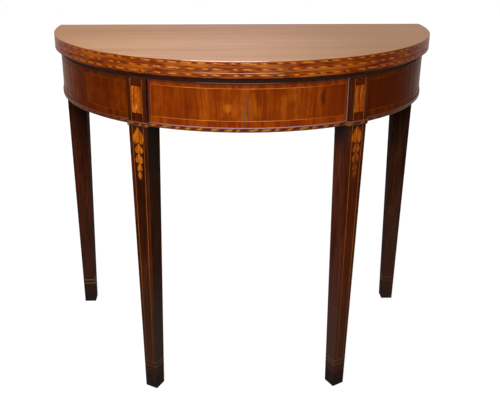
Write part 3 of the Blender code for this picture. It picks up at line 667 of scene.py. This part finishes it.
def add_crack(wood, colour, length):
    """A split up from the banding, rubbed grey on two strokes that meet near its top."""
    jag = wood.noise(wood.join(wood.z, 0.0, 0.0), JAG_SCALE)
    place = wood.minus(wood.jitter(length, jag, CRACK_JAG), CRACK_AT)
    down = wood.minus(APRON_TOP, wood.z)
    smear = wood.noise(wood.join(length, wood.z, 0.0), *SMEAR_NOISE)
    smear = wood.ease(smear, *CRACK_SMEAR)
    lean = wood.ease(down, *CRACK_LEAN)
    for offset, half, depths, share, tone in CRACK_STROKES:
        off = wood.size(wood.minus(place, lean if offset is None else offset))
        line = wood.fall(off, half, half + CRACK_SOFT, share)
        line = wood.times(line, wood.window(down, *depths, CRACK_END_SOFT))
        colour = wood.blend(wood.times(line, smear), colour, tone)
    return colour


# The legs: levels of their painted shadow, shade and highlight, and of their wear
FRONT_LEG_SPECULAR = 0.002
REAR_LEG_SPECULAR = 0.0005
LEG_STRETCH = 12.0
SHADOW_UNDER_BAND = (APRON_FOOT - 0.0062, APRON_FOOT - 0.0002, 0.0010)
SHADOW_UNDER_BAND_SHARE = 0.75
DULLED_LEVELS = (0.06, 0.40, 0.60)
REAR_OUTER_SIDE = (APRON_RADIUS - 0.046, APRON_RADIUS, 0.10)
REAR_SHADE = (0.47, 0.66, 0.85)
CUFF_STEP = (CUFF_LOW - 0.0006, CUFF_LOW + 0.0006)
BLACK_FOOT = (0.028, 0.045)
SCUFF_SCALE = 45.0
SCUFFS = (0.45, 0.70, 0.35)
CORNER_LINE = (APRON_RADIUS - 0.0020, APRON_RADIUS + 0.0024, 0.0004)
CORNER_FOOT = (BAND_TOP, BAND_TOP + 0.0005, 0.75)
CORNER_SIDES = (-0.1, 0.1, 0.55, 1.0)
INNER_FACES = (-0.75, -0.55)
INNER_TOP = (APRON_FOOT, APRON_FOOT + 0.001)
INNER_LOW = (0.12, 0.32, 0.85)
RUBBED_LEVELS = (0.24, 0.42, 0.08)
UNDER_APRON = APRON_FOOT - 0.015
UNDER_SHARE = 0.85
FRONT_FOOT_SHARE = 0.40
REAR_FOOT_SHARE = 0.80

# A front leg's inner face, in painted light and shade: its tint, its tone low down, and how far the
# apron's painted shade comes down
SHADED_SIDE = ((0.54, 0.84, 1.35), (0.045, 0.031, 0.023), 0.20)
LIT_RED_SIDE = ((1.08, 1.26, 2.30), (0.064, 0.0285, 0.0190), 0.07)


def make_leg_finish(name, tones, dull, foot_tone, inner=None):
    """Dark mahogany legs with blacker feet, painted shadow under the band and painted shade near the
    rear legs' tops. Only a front leg is given its inner face's painted light and shade.
    """
    wood = Finish(name, FRONT_LEG_SPECULAR if inner else REAR_LEG_SPECULAR)
    board = grained(wood, wood.z, wood.x, wood.y, LEG_STRETCH)
    colour = add_grain(wood, board, tones, LEG_GRAIN)
    # Painted shadow under the apron band at the top of the leg
    band_shadow = wood.window(wood.z, *SHADOW_UNDER_BAND)
    colour = wood.blend(wood.times(band_shadow, SHADOW_UNDER_BAND_SHARE), colour, FOOT_AND_SHADE_TONE)
    colour = wood.blend(wood.fall(wood.z, *DULLED_LEVELS), colour, dull)
    if inner:
        colour = add_front_leg_light_shade_and_wear(wood, colour, *inner)
    else:
        side = wood.fall(wood.size(wood.x), *REAR_OUTER_SIDE)
        colour = wood.blend(wood.rise(wood.plus(wood.z, side), *REAR_SHADE), colour, SHADED_LEG)
    foot = wood.fall(wood.z, *CUFF_STEP, FRONT_FOOT_SHARE if inner else REAR_FOOT_SHARE)
    foot = wood.most(foot, wood.fall(wood.z, *BLACK_FOOT))
    scuffed = wood.rise(wood.noise(wood.place, SCUFF_SCALE), *SCUFFS)
    return wood.done(wood.blend(foot, colour, wood.blend(scuffed, foot_tone, dull)))


def add_front_leg_light_shade_and_wear(wood, colour, tint, low_tone, under):
    """A front leg's painted highlight along its corner beside its bays, its rubbed outer faces, and its
    inner face in painted light and shade.
    """
    # Painted highlight along the corner
    corner = wood.window(wood.reach(), *CORNER_LINE)
    corner = wood.times(corner, wood.rise(wood.z, *CORNER_FOOT))
    corner = wood.times(corner, wood.ease(wood.x, *CORNER_SIDES))
    colour = wood.blend(corner, colour, CORNER_HIGHLIGHT_TONE)
    inward = wood.times(wood.normal()[0], wood.math("SIGN", wood.x))
    inward = wood.fall(inward, *INNER_FACES)
    rubbed = wood.times(wood.minus(1.0, inward), wood.window(wood.z, *RUBBED_LEVELS))
    colour = wood.tint(rubbed, colour, RUBBED_LEG)
    inward = wood.times(inward, wood.fall(wood.z, *INNER_TOP))
    colour = wood.tint(inward, colour, tint)
    low = wood.times(inward, wood.fall(wood.z, *INNER_LOW))
    colour = wood.blend(low, colour, low_tone)
    # Painted shade under the apron on the inner face
    shade = wood.rise(wood.z, APRON_FOOT - under, UNDER_APRON, UNDER_SHARE)
    return wood.blend(wood.times(inward, shade), colour, FOOT_AND_SHADE_TONE)


# Satinwood: its zigzag, and the scale, detail, levels and tone of its marks
SATIN_SPECULAR = 0.015
SATIN_STRETCH = 16.0
SATIN_SKEW = 0.7
ZIGZAG_TURN = 520.0
ZIGZAG_REACH = 0.0006
SATIN_MARKS = (
    (380.0, 2.0, (0.50, 0.58, 0.80), (0.134, 0.022, 0.0022)),
    (440.0, 1.0, (0.56, 0.66, 0.60), (0.762, 0.302, 0.034)),
)

# Plain wood, inlay wood and metal
PLAIN_SPECULAR = 0.15
PLAIN_STRETCH = 14.0
SHADED_COVERED_RIM = (APRON_RADIUS - 0.0070, APRON_RADIUS - 0.0050)
INLAY_STRETCH = 5.0
INLAY_MIDDLE = -0.02
METAL_SPECULAR = 0.5
TARNISH_NOISE = (120.0, 4.0, 0.6)
TARNISH = (0.38, 0.66)
METAL_WEAR_NOISE = (1400.0, 2.0)
METAL_WEAR = (0.3, 0.7)
METAL_RELIEF = (0.08, 0.0001)
METAL_SMOOTHER = 0.08
METAL_ROUGHER = 0.12


def make_satinwood(name, tint):
    """Pale satinwood with short dark flecks that zigzag up the panel."""
    wood = Finish(name, SATIN_SPECULAR)
    across = wood.plus(wood.x, wood.times(wood.y, SATIN_SKEW))
    sway = wood.times(wood.math("SINE", wood.times(wood.z, ZIGZAG_TURN)), ZIGZAG_REACH)
    board = grained(wood, wood.z, wood.plus(across, sway), 0.0, SATIN_STRETCH)
    colour = add_grain(wood, board, SATINWOOD, SATIN_GRAIN)
    for scale, detail, levels, tone in SATIN_MARKS:
        mark = wood.rise(wood.noise(board, scale, detail), *levels)
        colour = wood.blend(mark, colour, tone)
    return wood.done(wood.tint(1.0, colour, tint))


def make_plain_wood(name, axis, tones):
    """Unpolished wood of the parts inside, with its grain along an axis or round the apron, where its
    outer rim gets painted shade.
    """
    wood = Finish(name, PLAIN_SPECULAR)
    x, y, z = wood.x, wood.y, wood.z
    if axis == "arc":
        board = (wood.arc(APRON_RADIUS), z, 0.0)
    else:
        board = {"x": (x, y, z), "y": (y, x, z), "z": (z, x, y)}[axis]
    colour = add_grain(wood, grained(wood, *board, PLAIN_STRETCH), tones, PLAIN_GRAIN)
    if axis == "arc":
        # Painted shade on the rail's outer rim under the leaves
        colour = wood.blend(wood.rise(wood.reach(), *SHADED_COVERED_RIM), colour, SHADE_AND_JOINT_TONE)
    return wood.done(colour)


def make_inlay_wood(name, tones, specular=POLISHED, streaks=INLAY_STREAKS, low=None, far=None):
    """Fine wood for strings, husks and blocks, darker low down or far round."""
    wood = Finish(name, specular)
    board = grained(wood, wood.z, wood.x, wood.y, INLAY_STRETCH)
    colour = add_grain(wood, board, tones, (streaks, *INLAY_GRAIN))
    if low:
        levels, tone = low
        colour = wood.blend(wood.fall(wood.z, *levels), colour, tone)
    if far:
        levels, tone = far
        length = wood.size(wood.minus(wood.arc(APRON_RADIUS), INLAY_MIDDLE))
        colour = wood.blend(wood.rise(length, *levels), colour, tone)
    return wood.done(colour)


def make_metal(name, metal):
    """Metal with patches of tarnish and fine wear."""
    clean, tarnished, roughness = metal
    finish = Finish(name, METAL_SPECULAR, 1.0)
    patch = finish.noise(finish.place, *TARNISH_NOISE)
    wear = finish.noise(finish.place, *METAL_WEAR_NOISE)
    finish.set("Roughness", finish.ease(wear, *METAL_WEAR, roughness - METAL_SMOOTHER,
                                        roughness + METAL_ROUGHER))
    finish.bump(wear, *METAL_RELIEF)
    return finish.done(finish.blend(finish.rise(patch, *TARNISH), clean, tarnished))


finishes = {
    "upper_leaf": make_top_finish("upper_leaf_finish", False, UPPER_HIGHLIGHT_SPAN),
    "lower_leaf": make_top_finish("lower_leaf_finish", True, LOWER_HIGHLIGHT_SPAN),
    "bay_veneer_centre": make_bay_finish("centre_bay_finish", WAXED, BAY_TONES, BAY_BORDER, True),
    "bay_veneer": make_bay_finish("side_shaded_bay_finish", DRY, SIDE_BAY_SHADED_TONES, SIDE_BAY_SHADED_BORDER, False),
    "front_leg_left": make_leg_finish("left_front_leg_finish", *FRONT_LEG, SHADED_SIDE),
    "front_leg_right": make_leg_finish("right_front_leg_finish", *FRONT_LEG, LIT_RED_SIDE),
    "rear_leg_left": make_leg_finish("left_rear_leg_finish", *REAR_LEG_LEFT),
    "rear_leg_right": make_leg_finish("right_rear_leg_finish", *REAR_LEG_RIGHT),
    "stile_panel_left": make_satinwood("left_satinwood_finish", LEFT_SATIN),
    "stile_panel_right": make_satinwood("right_satinwood_finish", RIGHT_SATIN),
    "core_rail": make_plain_wood("core_rail_finish", "arc", PINE),
    "rear_rail": make_plain_wood("rear_rail_finish", "x", PINE),
    "centre_brace": make_plain_wood("brace_finish", "y", PINE),
    "glue_block": make_plain_wood("block_finish", "z", PINE),
    "rear_glue_block": make_plain_wood("rear_block_finish", "z", PINE),
    "knuckle_block": make_plain_wood("knuckle_block_finish", "x", OAK),
    "fly_rail": make_plain_wood("fly_rail_finish", "x", OAK),
    "hinge": make_metal("brass_finish", BRASS),
    "hinge_pin": make_metal("hinge_pin_finish", HINGE_STEEL),
    "knuckle_pin": make_metal("knuckle_pin_finish", KNUCKLE_STEEL),
}
for node in ("upper_leaf_top_banding", "upper_leaf_foot_banding", "lower_leaf_banding"):
    low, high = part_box(node)
    finishes[node] = make_rope_finish(node + "_finish", TOP_RADIUS, low.z, high.z, LEAF_ROPE, LEAF_TWIST)
finishes["apron_band"] = make_rope_finish("apron_band_finish", APRON_RADIUS, APRON_FOOT, BAND_TOP,
                                          APRON_ROPE, APRON_TWIST, True)
finishes["stile_band"] = finishes["apron_band"]

for name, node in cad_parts.items():
    key = max((start for start in finishes if name.startswith(start)), key=len)
    node.data.materials.clear()
    node.data.materials.append(finishes[key])

# Where inlays turn darker, far round or low down, and to what tone
STAINED_FAR = ((0.10, 0.19, 0.90), (0.270, 0.048, 0.0030))
# Painted shade on the side strings far round
SIDE_SHADED_FAR = ((0.26, 0.40, 0.90), (0.085, 0.016, 0.0020))
DULLED_LOW = ((0.10, 0.45, 0.85), (0.085, 0.038, 0.018))
STAINED_LOW = ((APRON_FOOT - 0.085, APRON_FOOT - 0.045, 0.75), (0.150, 0.028, 0.0040))
side_shaded_boxwood = make_inlay_wood("side_shaded_string_finish", SIDE_SHADED_BOXWOOD, DRY, far=SIDE_SHADED_FAR)
bay_strings = {
    "left": side_shaded_boxwood,
    "centre": make_inlay_wood("boxwood_string_finish", BOXWOOD, far=STAINED_FAR),
    "right": side_shaded_boxwood,
}
leg_boxwood = make_inlay_wood("leg_string_finish", LEG_BOXWOOD, low=DULLED_LOW)
dim_boxwood = make_inlay_wood("cuff_string_finish", DIM_BOXWOOD)
pale_boxwood = make_inlay_wood("pale_cuff_finish", PALE_BOXWOOD)
husk_woods = {
    "left": make_inlay_wood("left_husk_finish", HUSK_WOOD, WAXED, LEFT_HUSK_STREAKS),
    "right": make_inlay_wood("right_husk_finish", WORN_HUSK_WOOD, WAXED, RIGHT_HUSK_STREAKS,
                             STAINED_LOW),
}
block_woods = {
    "left": make_inlay_wood("left_stile_block_finish", ROSEWOOD, DRY),
    "right": make_inlay_wood("right_stile_block_finish", FADED_ROSEWOOD, DRY),
}
screw_metal = make_metal("screw_finish", SCREW_BRASS)


# Small solids


def add_piece(name, material, body, slot, make, *given):
    """A mesh object that rides on a body and has a finish slot."""
    shape = bmesh.new()
    make(shape, *given)
    bmesh.ops.recalc_face_normals(shape, faces=shape.faces)
    mesh = bpy.data.meshes.new(name)
    shape.to_mesh(mesh)
    shape.free()
    mesh.materials.append(material)
    piece = bpy.data.objects.new(name, mesh)
    bpy.context.scene.collection.objects.link(piece)
    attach(piece, body)


def add_prism(shape, front, back):
    """A closed solid between two outlines with as many points each."""
    near = [shape.verts.new(point) for point in front]
    far = [shape.verts.new(point) for point in back]
    shape.faces.new(near)
    shape.faces.new(far[::-1])
    for step in range(len(near)):
        after = (step + 1) % len(near)
        shape.faces.new((near[step], far[step], far[after], near[after]))


def add_ring(shape, outlines):
    """A closed ring, whose faces join each outline to the next and the last to the first."""
    rings = [[shape.verts.new(point) for point in outline] for outline in outlines]
    for ring, other in zip(rings, rings[1:] + rings[:1]):
        for step in range(len(ring)):
            after = (step + 1) % len(ring)
            shape.faces.new((ring[step], ring[after], other[after], other[step]))


def add_apron_frame(shape, first, last):
    """A rectangle of stringing bent round the apron, as one closed ring."""
    low = BAND_TOP + BAY_STRING_RISE - STRING_HALF
    high = APRON_TOP - BAY_STRING_DROP + STRING_HALF
    inset = STRING_WIDTH / APRON_RADIUS
    span = last - first
    inner_span = span - 2 * inset
    shares = [step / BAY_STRING_STEPS for step in range(BAY_STRING_STEPS + 1)]
    outer = [(first + span * share, low) for share in shares]
    outer += [(last - span * share, high) for share in shares]
    inner = [(first + inset + inner_span * share, low + STRING_WIDTH) for share in shares]
    inner += [(last - inset - inner_span * share, high - STRING_WIDTH) for share in shares]
    add_ring(shape, [[on_apron(angle, z, radius) for angle, z in points] for radius, points in (
        (APRON_RADIUS + PROUD, outer), (APRON_RADIUS + PROUD, inner),
        (APRON_RADIUS - SUNK, inner), (APRON_RADIUS - SUNK, outer))])


def on_apron(angle, z, radius):
    return Vector((radius * math.sin(angle), CENTRE_Y - radius * math.cos(angle), z))


def bay_span(node):
    """The angles of a bay's two ends at the apron's face, from its mesh."""
    angles = []
    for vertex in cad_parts[node].data.vertices:
        x, back = vertex.co.x, CENTRE_Y - vertex.co.y
        if abs(math.hypot(x, back) - APRON_RADIUS) < RADIUS_NEAR:
            angles.append(math.atan2(x, back))
    return min(angles), max(angles)


for label, wood in bay_strings.items():
    first, last = bay_span("bay_veneer_" + label)
    inset = BAY_STRING_INSET / APRON_RADIUS
    add_piece("bay_string_" + label, wood, "frame", "satinwood_inlay",
              add_apron_frame, first + inset, last - inset)


# Faces of the front legs


def foot_points(node):
    return [v.co.copy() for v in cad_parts[node].data.vertices if v.co.z < LEVEL_NEAR]


def leg_angle(node):
    """The way a front leg faces, from its place at the foot."""
    foot = foot_points(node)
    middle = sum(foot, Vector()) / len(foot)
    return math.atan2(middle.x, CENTRE_Y - middle.y)


class LegFace:
    """The front face of a tapered square leg, with places across and up it."""

    def __init__(self, node):
        angle = leg_angle(node)
        self.normal = Vector((math.sin(angle), -math.cos(angle), 0.0))
        self.across = Vector((math.cos(angle), math.sin(angle), 0.0))
        foot = foot_points(node)
        sides = [point.dot(self.across) for point in foot]
        self.middle = (min(sides) + max(sides)) / 2
        self.foot_face = max(point.dot(self.normal) for point in foot)
        self.top_face = max(v.co.dot(self.normal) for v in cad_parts[node].data.vertices
                            if v.co.z > APRON_FOOT - EDGE_NEAR)

    def at(self, u, z, out):
        share = min(z / APRON_FOOT, 1.0)
        reach = self.foot_face + (self.top_face - self.foot_face) * share + out
        place = self.across * (self.middle + u) + self.normal * reach
        return Vector((place.x, place.y, z))

    def add_plate(self, shape, outline):
        add_prism(shape, [self.at(u, z, PROUD) for u, z in outline],
                  [self.at(u, z, -SUNK) for u, z in outline])

    def add_strip(self, shape, low_u, low, high_u, high, half):
        """A straight strip up the face, with its own place across it at each end."""
        self.add_plate(shape, [(low_u - half, low), (low_u + half, low),
                               (high_u + half, high), (high_u - half, high)])


def core_reach(share, width):
    """Half the width of a husk's middle petal, a share of the way down it."""
    if share <= 0.0 or share >= 1.0:
        return 0.0
    return math.sin(math.pi * share ** PETAL_SHOULDER) * width / 2


def petal(width, height):
    """A pointed petal, from its tip at the top to its round foot, as (u, rise) points."""
    shares = [step / PETAL_STEPS for step in range(PETAL_STEPS + 1)]
    right = [(core_reach(share, width), height * (1 - share)) for share in shares]
    return right + [(-u, rise) for u, rise in right[-2:0:-1]]


def husk_petals(width, height):
    """A bellflower husk: a middle petal between two full side petals."""
    core = width * HUSK_CORE_SHARE
    foot = height * HUSK_NOTCH_SHARE
    petals = [[(u, rise + foot) for u, rise in petal(core, height - foot)]]
    for sign in (1, -1):
        outer = []
        inner = []
        for step in range(1, HUSK_STEPS + 1):
            share = step / HUSK_STEPS
            swell = math.sin(math.pi / 2 * min(share / HUSK_WIDEST_SHARE, 1.0))
            past = max(0.0, (share - HUSK_WIDEST_SHARE) / (1 - HUSK_WIDEST_SHARE))
            swell *= 1 - HUSK_TUCK * past ** 2
            outer.append((sign * width / 2 * swell, height * (1 - share)))
            level = foot + (height - foot) * (1 - share)
            inner.append((sign * (core_reach(share, core) + PETAL_GAP), level))
        petals.append([(sign * PETAL_GAP / 2, height)] + outer + inner[::-1])
    return petals


def add_strings(shape, face):
    """Strings up both edges of a stile and, drawing together, down the leg to its cuff."""
    for sign in (-1, 1):
        u = sign * LEG_STRING_OFFSET
        face.add_strip(shape, u, BAND_TOP + BAND_GAP, u, STILE_TOP, STRING_HALF)
        face.add_strip(shape, sign * LEG_STRING_FOOT_OFFSET, CUFF_HIGH, u, APRON_FOOT - BAND_GAP,
                       STRING_HALF)


def add_blocks(shape, face):
    """Small dark blocks under and over a stile's satinwood panel."""
    half = LEG_STRING_OFFSET - STRING_HALF - BLOCK_GAP
    face.add_strip(shape, 0.0, BAND_TOP + BAND_GAP, 0.0, panel_low.z - PANEL_GAP, half)
    face.add_strip(shape, 0.0, panel_high.z + PANEL_GAP, 0.0, STILE_TOP, half)


def add_husks(shape, face):
    """Bellflower husks down a leg, each lapping the next, and a drop under the last."""
    level = APRON_FOOT - HUSK_DROP
    for height, width in HUSKS:
        for outline in husk_petals(width, height):
            face.add_plate(shape, [(u, level - height + rise) for u, rise in outline])
        level -= height - HUSK_LAP
    level -= HUSK_LAP + DROP_HEIGHT
    face.add_plate(shape, [(u, level + rise) for u, rise in petal(DROP_WIDTH, DROP_HEIGHT)])


for label in ("left", "right"):
    face = LegFace("front_leg_" + label)
    add_piece("stile_strings_" + label, leg_boxwood, "frame", "satinwood_inlay", add_strings, face)
    add_piece("stile_blocks_" + label, block_woods[label], "frame", "dark_mahogany", add_blocks, face)
    add_piece("husks_" + label, husk_woods[label], "frame", "satinwood_inlay", add_husks, face)


# Cuffs round the legs


def foot_ring(node):
    """The corners of a leg's foot, in order round it."""
    corners = []
    for point in foot_points(node):
        if all((point - other).length > CORNER_NEAR for other in corners):
            corners.append(point)
    middle = sum(corners, Vector()) / len(corners)
    corners.sort(key=lambda point: math.atan2(point.y - middle.y, point.x - middle.x))
    return corners, middle


def width_ratio(node, across, z):
    """How much wider a tapered leg is at a level than at its foot."""
    top = [v.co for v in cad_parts[node].data.vertices if v.co.z > APRON_FOOT - 2 * LEVEL_NEAR]
    widths = []
    for points in (foot_points(node), top):
        places = [point.dot(across) for point in points]
        widths.append(max(places) - min(places))
    return 1.0 + (widths[1] / widths[0] - 1.0) * z / APRON_FOOT


def ring_outline(node, z, grow):
    """A leg's outline at a level, grown by a little."""
    corners, middle = foot_ring(node)
    if node.startswith("front"):
        angle = leg_angle(node)
        across = Vector((math.cos(angle), math.sin(angle), 0.0))
        anchor = middle
    else:
        across = Vector((1.0, 0.0, 0.0))
        outer = max((point.x for point in corners), key=abs)
        anchor = Vector((outer, max(point.y for point in corners), 0.0))
    scale = width_ratio(node, across, z)
    points = []
    for point in corners:
        outward = (point - middle).normalized() * grow * CORNER_GROWTH
        place = anchor + (point - anchor) * scale + outward
        points.append(Vector((place.x, place.y, z)))
    return points


def add_cuff(shape, node):
    """Two thin lines round a leg."""
    for low in (CUFF_LOW, CUFF_HIGH):
        high = low + CUFF_WIDTH
        add_ring(shape, [ring_outline(node, z, grow) for z, grow in (
            (low, PROUD), (high, PROUD), (high, -CUFF_SUNK), (low, -CUFF_SUNK))])


for node, body, wood in (("front_leg_left", "frame", dim_boxwood),
                         ("front_leg_right", "frame", dim_boxwood),
                         ("rear_leg_left", "left_gate", pale_boxwood),
                         ("rear_leg_right", "right_gate", dim_boxwood)):
    add_piece("cuff_" + node, wood, body, "satinwood_inlay", add_cuff, node)


# Screws in the hinge plates


def add_screws(shape, node, upper):
    """Two screws in a hinge plate, near its free edge."""
    low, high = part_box(node)
    edge = high.z if upper else low.z
    back = max(v.co.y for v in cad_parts[node].data.vertices if abs(v.co.z - edge) < EDGE_NEAR)
    z = edge - SCREW_INSET if upper else edge + SCREW_INSET
    reach = SCREW_REACH_UPPER if upper else SCREW_REACH_LOWER
    for side in (-1, 1):
        add_screw(shape, Vector(((low.x + high.x) / 2 + side * reach, back, z)))


def add_screw(shape, centre):
    """A round slotted head, a little proud of its plate, as two halves beside the slot."""
    start = math.asin(SCREW_SLOT_HALF / SCREW_RADIUS)
    turns = [start + (math.pi - 2 * start) * step / SCREW_STEPS for step in range(SCREW_STEPS + 1)]
    for sign in (-1, 1):
        rim = [(SCREW_RADIUS * math.cos(turn), sign * SCREW_RADIUS * math.sin(turn)) for turn in turns]
        add_prism(shape, [centre + Vector((x, SCREW_PROUD, z)) for x, z in rim],
                  [centre + Vector((x, -SCREW_SUNK, z)) for x, z in rim])


for label in ("left", "right"):
    for part, body in (("upper", "folding_leaf"), ("lower", "frame")):
        place = part + "_" + label
        add_piece("screws_" + place, screw_metal, body, "aged_brass",
                  add_screws, "hinge_" + place, part == "upper")


# Stage, light and camera. The floor's glow is two distances and its strength at each.
WHITE = (1.0, 1.0, 1.0)
AMBIENT = 0.22
FLOOR_TONE = (0.30, 0.30, 0.30)
SEEN_FLOOR_TONE = (0.18, 0.18, 0.18)
FLOOR_GLOW = (0.7, 2.2, 0.90, 1.0)
FLOOR_HALF = 6.0
FLOOR_Z = -0.0002

# Each lamp's name, place, target, size and watts
LAMPS = (
    ("key", (-0.50, -2.4, 1.6), (0.0, 0.0, 0.55), (1.6, 1.2), 40.0),
    ("overhead", (-0.60, -1.2, 2.1), (0.0, 0.0, 0.7), (1.2, 1.2), 30.0),
    ("fill", (2.3, -0.6, 1.3), (0.0, 0.0, 0.45), (1.2, 1.2), 10.0),
    ("rear", (0.0, 1.3, 2.4), (0.0, 0.1, 0.5), (1.2, 0.8), 14.0),
)


def make_world():
    """An even light on the object, and white where the world itself is seen."""
    world = bpy.data.worlds.new("studio")
    nodes = Nodes(world)
    nodes.tree.nodes.clear()
    soft = nodes.node("ShaderNodeBackground", WHITE, AMBIENT)
    white = nodes.node("ShaderNodeBackground", WHITE, 1.0)
    mix = nodes.node("ShaderNodeMixShader", nodes.seen(), soft.outputs[0], white.outputs[0])
    nodes.node("ShaderNodeOutputWorld", mix.outputs[0])
    bpy.context.scene.world = world


def make_floor():
    """A pale floor that looks white where it is lit and keeps a faint shadow."""
    material = bpy.data.materials.new("studio_floor")
    nodes = Nodes(material)
    nodes.tree.nodes.clear()
    matte = nodes.node("ShaderNodeBsdfDiffuse", FLOOR_TONE)
    faint = nodes.node("ShaderNodeBsdfDiffuse", SEEN_FLOOR_TONE)
    place = nodes.node("ShaderNodeTexCoord").outputs["Object"]
    far = nodes.node("ShaderNodeVectorMath", place, operation="LENGTH").outputs["Value"]
    even = nodes.node("ShaderNodeMapRange", far, *FLOOR_GLOW)
    glow = nodes.node("ShaderNodeEmission", WHITE, even.outputs[0])
    both = nodes.node("ShaderNodeAddShader", faint.outputs[0], glow.outputs[0])
    mix = nodes.node("ShaderNodeMixShader", nodes.seen(), matte.outputs[0], both.outputs[0])
    nodes.node("ShaderNodeOutputMaterial", mix.outputs[0])
    mesh = bpy.data.meshes.new("floor")
    corners = [(x * FLOOR_HALF, y * FLOOR_HALF, 0.0) for x, y in ((-1, -1), (1, -1), (1, 1), (-1, 1))]
    mesh.from_pydata(corners, [], [(0, 1, 2, 3)])
    mesh.materials.append(material)
    floor = bpy.data.objects.new("floor", mesh)
    bpy.context.scene.collection.objects.link(floor)
    floor.location.z = FLOOR_Z


def add_lamp(name, place, target, size, power):
    lamp = bpy.data.lights.new(name, "AREA")
    lamp.shape = "RECTANGLE"
    lamp.size, lamp.size_y = size
    lamp.energy = power
    holder = bpy.data.objects.new(name, lamp)
    bpy.context.scene.collection.objects.link(holder)
    holder.location = place
    aim = Vector(target) - Vector(place)
    holder.rotation_euler = aim.to_track_quat("-Z", "Y").to_euler()


def add_camera():
    camera = bpy.data.cameras.new("camera")
    camera.sensor_width = SENSOR
    camera.lens = FOCAL_PIXELS * SENSOR / IMAGE_WIDTH
    camera.shift_x = MIDDLE_LEFT_PIXELS / IMAGE_WIDTH
    camera.shift_y = -MIDDLE_UP_PIXELS / IMAGE_WIDTH
    viewer = bpy.data.objects.new("camera", camera)
    bpy.context.scene.collection.objects.link(viewer)
    viewer.location = (CAMERA_X, CENTRE_Y - CAMERA_BEFORE, CAMERA_HEIGHT)
    viewer.rotation_euler = (math.pi / 2 - CAMERA_PITCH, 0.0, -CAMERA_YAW)
    bpy.context.scene.camera = viewer


make_world()
make_floor()
for lamp in LAMPS:
    add_lamp(*lamp)
add_camera()
bpy.context.scene.view_settings.view_transform = "Standard"

bpy.context.view_layer.update()
